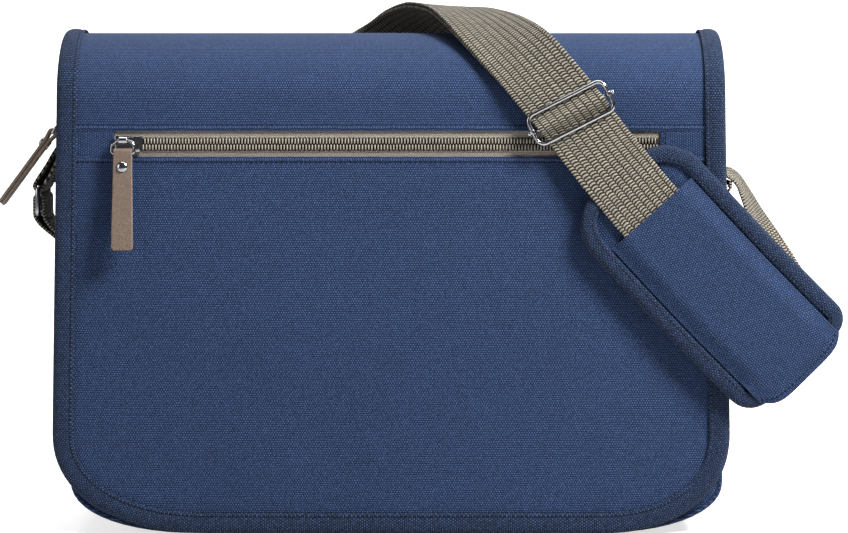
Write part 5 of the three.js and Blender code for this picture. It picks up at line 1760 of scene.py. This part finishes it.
def tab_places(face, side, bar_x):
    """The stations of a side tab: up from the gusset, slack round the ring's lower bar and down again."""
    layer = face + side * (GAP + STRAP["thickness"] / 2)
    outer_layer = layer + side * STRAP["step"]
    root_z, fold_z = RING["lower_z"] - TAB["rise"], RING["lower_z"] + TAB["slack"]
    share = np.linspace(0, 1, 17)

    def rise(x, bar_side):
        bend = np.stack([x + (bar_side - x) * smoothstep(share, 0, 1), root_z + TAB["rise"] * share], axis=1)
        return np.vstack([np.linspace([x, TAB["end_z"]], bend[0], 10)[:-1], bend])

    turn = np.linspace(0, np.pi, 13)
    loop = np.stack([bar_x - side * LOOP_RADIUS * np.cos(turn), fold_z + LOOP_RADIUS * np.sin(turn)], axis=1)
    up = rise(layer, bar_x - side * LOOP_RADIUS)
    down = rise(outer_layer, bar_x + side * LOOP_RADIUS)[::-1]
    line = np.vstack([up, loop, down])
    line_normals = normals(line)

    def station(k):
        def place(across, height):
            x, z = (line[k, axis] + line_normals[k, axis] * height for axis in (0, 1))
            return np.stack([x, across + 0 * height, z], axis=-1)

        return place

    return [station(k) for k in range(len(line))]


class BAG_OT_strap(bpy.types.Operator):
    """Lays the webbing strap and its side tabs"""

    bl_idname = "bag.strap"
    bl_label = "Strap"

    def execute(self, context):
        webbing = context.scene.bag_webbing
        material = webbing_material(webbing)
        strap = webbing_piece("strap_webbing", strap_places(), webbing)
        finish_piece(strap, material, "webbing_taupe", "bag", "strap")
        left_face, right_face = BODY["shift"] - HALF_BODY, BODY["shift"] + HALF_BODY
        for name, places, node in (
            ("left_side_tab", tab_places(left_face, -1, RING["left_x"]), "left_tab"),
            ("right_side_tab", tab_places(right_face, 1, RIGHT_RING_X), "right_tab"),
        ):
            finish_piece(webbing_piece(name, places, webbing), material, "webbing_taupe", "bag", node)
        return {"FINISHED"}


class BAG_OT_fittings(bpy.types.Operator):
    """Bends the wire rings and the strap slider"""

    bl_idname = "bag.fittings"
    bl_label = "Fittings"

    def execute(self, context):
        metal = metal_material(context.scene.bag_fittings)
        upright = Matrix.Rotation(math.pi / 2, 4, "Z")
        corners = (RING["corner"],) * 2
        middle_z = (RING["upper_z"] + RING["lower_z"]) / 2
        for name, x, node in (
            ("left_wire_ring", RING["left_x"], "left_ring"),
            ("right_wire_ring", RIGHT_RING_X, "right_ring"),
        ):
            place = Matrix.Translation((x * MM, 0, middle_z * MM)) @ upright
            ring = wire_loop(name, RING["width"], RING["height"], corners, RING["wire"], place)
            finish_piece(ring, metal, "metal", "bag", node)
        place = self.slider_place()
        corners = (BUCKLE["corner"],) * 2
        length, height, wire = BUCKLE["length"], BUCKLE["height"], BUCKLE["wire"]
        loop = wire_loop("strap_slider_wire", length, height, corners, wire, place)
        finish_piece(loop, metal, "metal", "bag", "slider_frame")
        finish_piece(self.slider_bar(place), metal, "metal", "bag", "slider_bar")
        return {"FINISHED"}

    def slider_place(self):
        """The strap slider's frame: X along its bar, Y into the webbing."""
        at = strap_point(BUCKLE_ALONG, 0, BUCKLE["rise"])
        x = Vector(strap_point(BUCKLE_ALONG + BUCKLE_SKEW, 1, BUCKLE["rise"]) - at).normalized()
        y = Vector(strap_point(BUCKLE_ALONG, 0, BUCKLE["rise"] - 1) - at).normalized()
        z = x.cross(y).normalized()
        place = Matrix((x, y, z)).transposed().to_4x4()
        place.translation = Vector(at * MM)
        return place

    def slider_bar(self, place):
        """The bar under the webbing, with a collar and a small knob at each end."""
        half = BUCKLE["length"] / 2
        drop = Matrix.Translation((0, (BUCKLE["rise"] - BUCKLE["bar_rise"]) * MM, 0))
        bar, end = BUCKLE["bar"], half - BUCKLE_END["inset"]
        rod = [(0, -end), (bar, -end), (bar, end), (0, end)]
        collar = [(1.3, -1.3), (1.8, -1.3), (2.1, -1), (2.15, 0), (2.1, 1), (1.8, 1.3), (1.3, 1.3)]
        knob = [(0, -0.2), (1.15, -0.2), (1.3, 0.5), (1.1, 1.1), (0.6, 1.45), (0, 1.5)]
        across = Matrix.Rotation(math.pi / 2, 4, "Y")
        pieces = [turned_piece("slider_rod", rod, 20, place @ drop @ across)]
        for side in (-1, 1):
            spot = place @ Matrix.Translation((side * half * MM, 0, 0))
            outward = spot @ Matrix.Translation((side * BUCKLE_END["knob"] * MM, 0, 0))
            pieces.append(turned_piece("slider_collar", collar + collar[:1], 24, spot))
            turn = Matrix.Rotation(side * math.pi / 2, 4, "Y")
            pieces.append(turned_piece("slider_knob", knob, 16, outward @ turn))
        return joined("strap_slider_bar", *pieces)


# Shoulder pad


PAD_TOP = -STRAP["thickness"] / 2 - GAP - BINDING_LIP
PAD_BINDING_SECTION = (
    (7.0, 5.0),
    (6.7, 5.6),
    (6.1, 5.9),
    (5.2, 5.95),
    (4.0, 6.15),
    (1.6, 5.9),
    (-0.3, 5.0),
    (-1.3, 2.25),
    (-0.5, -0.4),
    (1.4, -1.2),
    (4.0, -1.3),
    (8.2, -1.2),
)


PAD_STITCH = 5.2
PAD_STITCH_RISE = 6.75


def corner_inset(radius, past):
    """How far an edge of the pad draws in at a round corner, at a length past where it begins."""
    reach = np.clip(past, 0, radius)
    return radius - np.sqrt(np.maximum(radius**2 - reach**2, 0))


def pad_half(along, end_corner):
    """Half the pad's width inside its binding, at a place along it and on one side."""
    start_cut = corner_inset(PAD["start"] - BINDING_LIP, PAD["start"] - along)
    end_cut = corner_inset(end_corner - BINDING_LIP, along - PAD["length"] + end_corner)
    return PAD["width"] / 2 - BINDING_LIP - start_cut - end_cut


def pad_outline():
    """The pad's outline inside its binding: places across and along it, once round."""
    turn = 1 - np.cos(np.linspace(0, np.pi / 2, 16))
    start = BINDING_LIP + (PAD["start"] - BINDING_LIP) * turn
    sides = []
    for side, corner in ((-1, PAD["left_end"]), (1, PAD["right_end"])):
        end = PAD["length"] - BINDING_LIP - (corner - BINDING_LIP) * turn[::-1]
        along = np.concatenate([start, end])
        sides.append(np.stack([side * pad_half(along, corner), along], axis=1))
    line = np.vstack([sides[0], sides[1][::-1], sides[0][:1]])
    return resample(line, 181)[:-1]


class BAG_OT_pad(bpy.types.Operator):
    """Builds the shoulder pad: foam, binding and sleeve"""

    bl_idname = "bag.pad"
    bl_label = "Shoulder Pad"

    def execute(self, context):
        cloth = context.scene.bag_cloth
        canvas = canvas_material(cloth)
        self.cushion(canvas)
        base = PAD_TOP - PAD["foam"]
        outline = pad_outline()
        binding = folded_tape(
            "pad_edge_binding",
            outline,
            PAD_BINDING_SECTION,
            lambda across, along, out: pad_point(across, along, base + out),
            closed=True,
        )
        finish_piece(binding, binding_material(cloth), "binding_navy", "bag", "pad_binding")
        across, along = inset_line(np.vstack([outline, outline[:1]]), PAD_STITCH).T
        stitches = surface_row("pad_stitches", pad_point, across, along, base + PAD_STITCH_RISE, cloth)
        finish_piece(stitches, seam_thread(cloth), "binding_navy", "bag")
        self.sleeve(cloth, canvas)
        return {"FINISHED"}

    def cushion(self, canvas):
        """The foam in its cloth, crowned, and drawn in at its bound edge."""
        first, last = BINDING_LIP, PAD["length"] - BINDING_LIP
        along = first + (last - first) * (1 - np.cos(np.linspace(0, np.pi, 70))) / 2
        share = np.sin(np.linspace(-np.pi / 2, np.pi / 2, 33))
        left, right = (pad_half(along, corner)[:, None] for corner in (PAD["left_end"], PAD["right_end"]))
        across = np.where(share < 0, share * left, share * right)
        to_end = np.minimum(along - first, last - along)[:, None]
        edge = np.minimum((1 - np.abs(share)) * np.minimum(left, right), to_end)
        flat = CROWN["edge"] + (1 - CROWN["edge"]) * smoothstep(edge, 0, CROWN["reach"])
        groove = CROWN["groove"] * mound(edge, CROWN["groove_at"], CROWN["groove_width"])
        crown = PAD["foam"] / 2 * flat - groove
        middle = PAD_TOP - PAD["foam"] / 2
        upper = pad_point(across, along[:, None], middle + crown)
        lower = pad_point(across, along[:, None], middle - crown)
        sections = np.concatenate([upper, lower[:, ::-1]], axis=1)
        both_sides = np.concatenate([across, across[:, ::-1]], axis=1)
        piece = swept_grid("pad_cushion", sections, both_sides, along, turned=True)
        finish_piece(piece, canvas, "canvas_blue", "bag", "pad_base")

    def sleeve(self, cloth, canvas):
        """The cloth sleeve over the webbing, which runs out over the lower binding."""
        edge = PAD["width"] / 2 - PAD["binding"] - GAP
        start, end = SLEEVE["start"], PAD["length"] + SLEEVE["overhang"]
        top = STRAP["thickness"] / 2 + GAP
        on_foam = PAD_TOP + GAP
        on_binding = PAD_TOP + BINDING_LIP + 2 * GAP
        rows = np.concatenate([[start, start + 1], np.linspace(start + 3, end - 2, 50), [end - 1, end]])

        def surface(u, v, out):
            across = u * edge
            low = smoothstep(v, SLEEVE["lift"], PAD["length"] - PAD["binding"] - 1)
            side = on_foam + (on_binding - on_foam) * low
            past = smoothstep(np.abs(across), STRAP["width"] / 2 - 1, edge)
            bow = np.where(u < 0, SLEEVE["left_bow"], SLEEVE["right_bow"]) * np.abs(u) ** SLEEVE["bow_power"]
            drawn_in = bow * smoothstep(v, SLEEVE["lift"], end)
            return pad_point(across, v - drawn_in, top + (side - top) * past + out)

        piece = laid_grid("pad_sleeve", np.linspace(-1, 1, 45), rows, surface, lambda u, v: (v, u * edge))
        thicken(piece, SLEEVE["cloth"], rim=0.5)
        finish_piece(piece, canvas, "canvas_blue", "bag", "pad_cover")
        inside = np.linspace(-0.95, 0.95, 60)
        hem = 0 * inside + end - SLEEVE["hem"]
        row = surface_row("sleeve_stitches", surface, inside, hem, SLEEVE["cloth"] + STITCH_RISE, cloth)
        finish_piece(row, seam_thread(cloth), "binding_navy", "bag")


# Stage


# Floor and wall in metres, and the cove between them in millimetres
FLOOR_SPAN = (44, 26, 1)
WALL_Y = 1.4
WALL_HEIGHT = 4
COVE_RADIUS = 600

# Each light's power setting, its width, its place and what it is aimed at
LIGHTS = (
    ("key_light", "key_power", 0.45, (0.9, -0.75, 1.25), (0.05, -0.05, 0.15)),
    ("top_light", "top_power", 1.6, (0.1, 0.3, 1.8), (0, 0.3, 0)),
    ("fill_light", "fill_power", 0.9, (-1.3, -0.7, 0.6), (-0.1, 0, 0.15)),
)

# The camera's place in metres and its turn up from straight down, in degrees
CAMERA_SPOT = (0.018602, -1.70198, 0.267797)
CAMERA_TILT = 86


class BAG_OT_stage(bpy.types.Operator):
    """Sets the floor, the lights and the camera"""

    bl_idname = "bag.stage"
    bl_label = "Stage"

    def execute(self, context):
        stage = context.scene.bag_stage
        self.backdrop(stage)
        for name, power, size, spot, aim in LIGHTS:
            start_piece()
            bpy.ops.object.light_add(type="AREA", location=spot)
            light = name_piece(name)
            light.data.energy = getattr(stage, power)
            light.data.size = size
            light.rotation_euler = (Vector(aim) - Vector(spot)).to_track_quat("-Z", "Y").to_euler()
        world = bpy.data.worlds.new("studio")
        world.use_nodes = True
        colour, strength = world.node_tree.nodes["Background"].inputs[:2]
        colour.default_value = (0.9, 0.95, 1.0, 1)
        strength.default_value = stage.world_light
        context.scene.world = world
        context.scene.view_settings.view_transform = "Standard"
        start_piece()
        bpy.ops.object.camera_add(location=CAMERA_SPOT, rotation=(math.radians(CAMERA_TILT), 0, 0))
        camera = name_piece("photo_camera")
        camera.data.lens = stage.lens
        camera.data.sensor_width = 36
        camera.data.clip_end = 50
        context.scene.camera = camera
        return {"FINISHED"}

    def backdrop(self, stage):
        """One pale sheet: a floor that curves up into a wall."""
        start_piece()
        bpy.ops.mesh.primitive_plane_add(size=1)
        sheet = name_piece("backdrop")
        middle = np.array([0, WALL_Y - FLOOR_SPAN[1] / 2, 0])
        set_points(sheet, get_points(sheet) * np.array(FLOOR_SPAN) + middle)
        deselect_points("EDGE")
        far = max(vertex.co.y for vertex in sheet.data.vertices)
        for line in sheet.data.edges:
            line.select = all(abs(sheet.data.vertices[v].co.y - far) < TOUCH for v in line.vertices)
        bpy.ops.object.mode_set(mode="EDIT")
        bpy.ops.mesh.extrude_region_move(TRANSFORM_OT_translate={"value": (0, 0, WALL_HEIGHT)})
        bpy.ops.object.mode_set(mode="OBJECT")
        round_edges(sheet, COVE_RADIUS, 16)
        bpy.ops.object.shade_smooth()
        sheet.data.materials.append(backdrop_material(stage))


# Panel and registration


OPERATORS = (
    BAG_OT_stage,
    BAG_OT_body,
    BAG_OT_main_zip,
    BAG_OT_flap,
    BAG_OT_pocket_zip,
    BAG_OT_strap,
    BAG_OT_fittings,
    BAG_OT_pad,
)


class BAG_PT_panel(bpy.types.Panel):
    """Lists the bag's pieces and their settings"""

    bl_idname = "BAG_PT_panel"
    bl_label = "Shoulder Bag"
    bl_space_type = "VIEW_3D"
    bl_region_type = "UI"
    bl_category = "Shoulder Bag"

    def draw(self, context):
        for name, _ in SETTINGS:
            settings = getattr(context.scene, name)
            box = self.layout.box()
            for key in settings.__annotations__:
                box.prop(settings, key)
        for operator in OPERATORS:
            self.layout.operator(operator.bl_idname)


SETTINGS = (
    ("bag_cloth", BagCloth),
    ("bag_webbing", BagWebbing),
    ("bag_fittings", BagFittings),
    ("bag_stage", BagStage),
)


def register():
    for name, group in SETTINGS:
        bpy.utils.register_class(group)
        setattr(bpy.types.Scene, name, bpy.props.PointerProperty(type=group))
    for operator in OPERATORS:
        bpy.utils.register_class(operator)
    bpy.utils.register_class(BAG_PT_panel)


def unregister():
    bpy.utils.unregister_class(BAG_PT_panel)
    for operator in reversed(OPERATORS):
        bpy.utils.unregister_class(operator)
    for name, group in reversed(SETTINGS):
        delattr(bpy.types.Scene, name)
        bpy.utils.unregister_class(group)


def main():
    register()
    for operator in OPERATORS:
        space, name = operator.bl_idname.split(".")
        getattr(getattr(bpy.ops, space), name)()


if __name__ == "__main__":
    main()
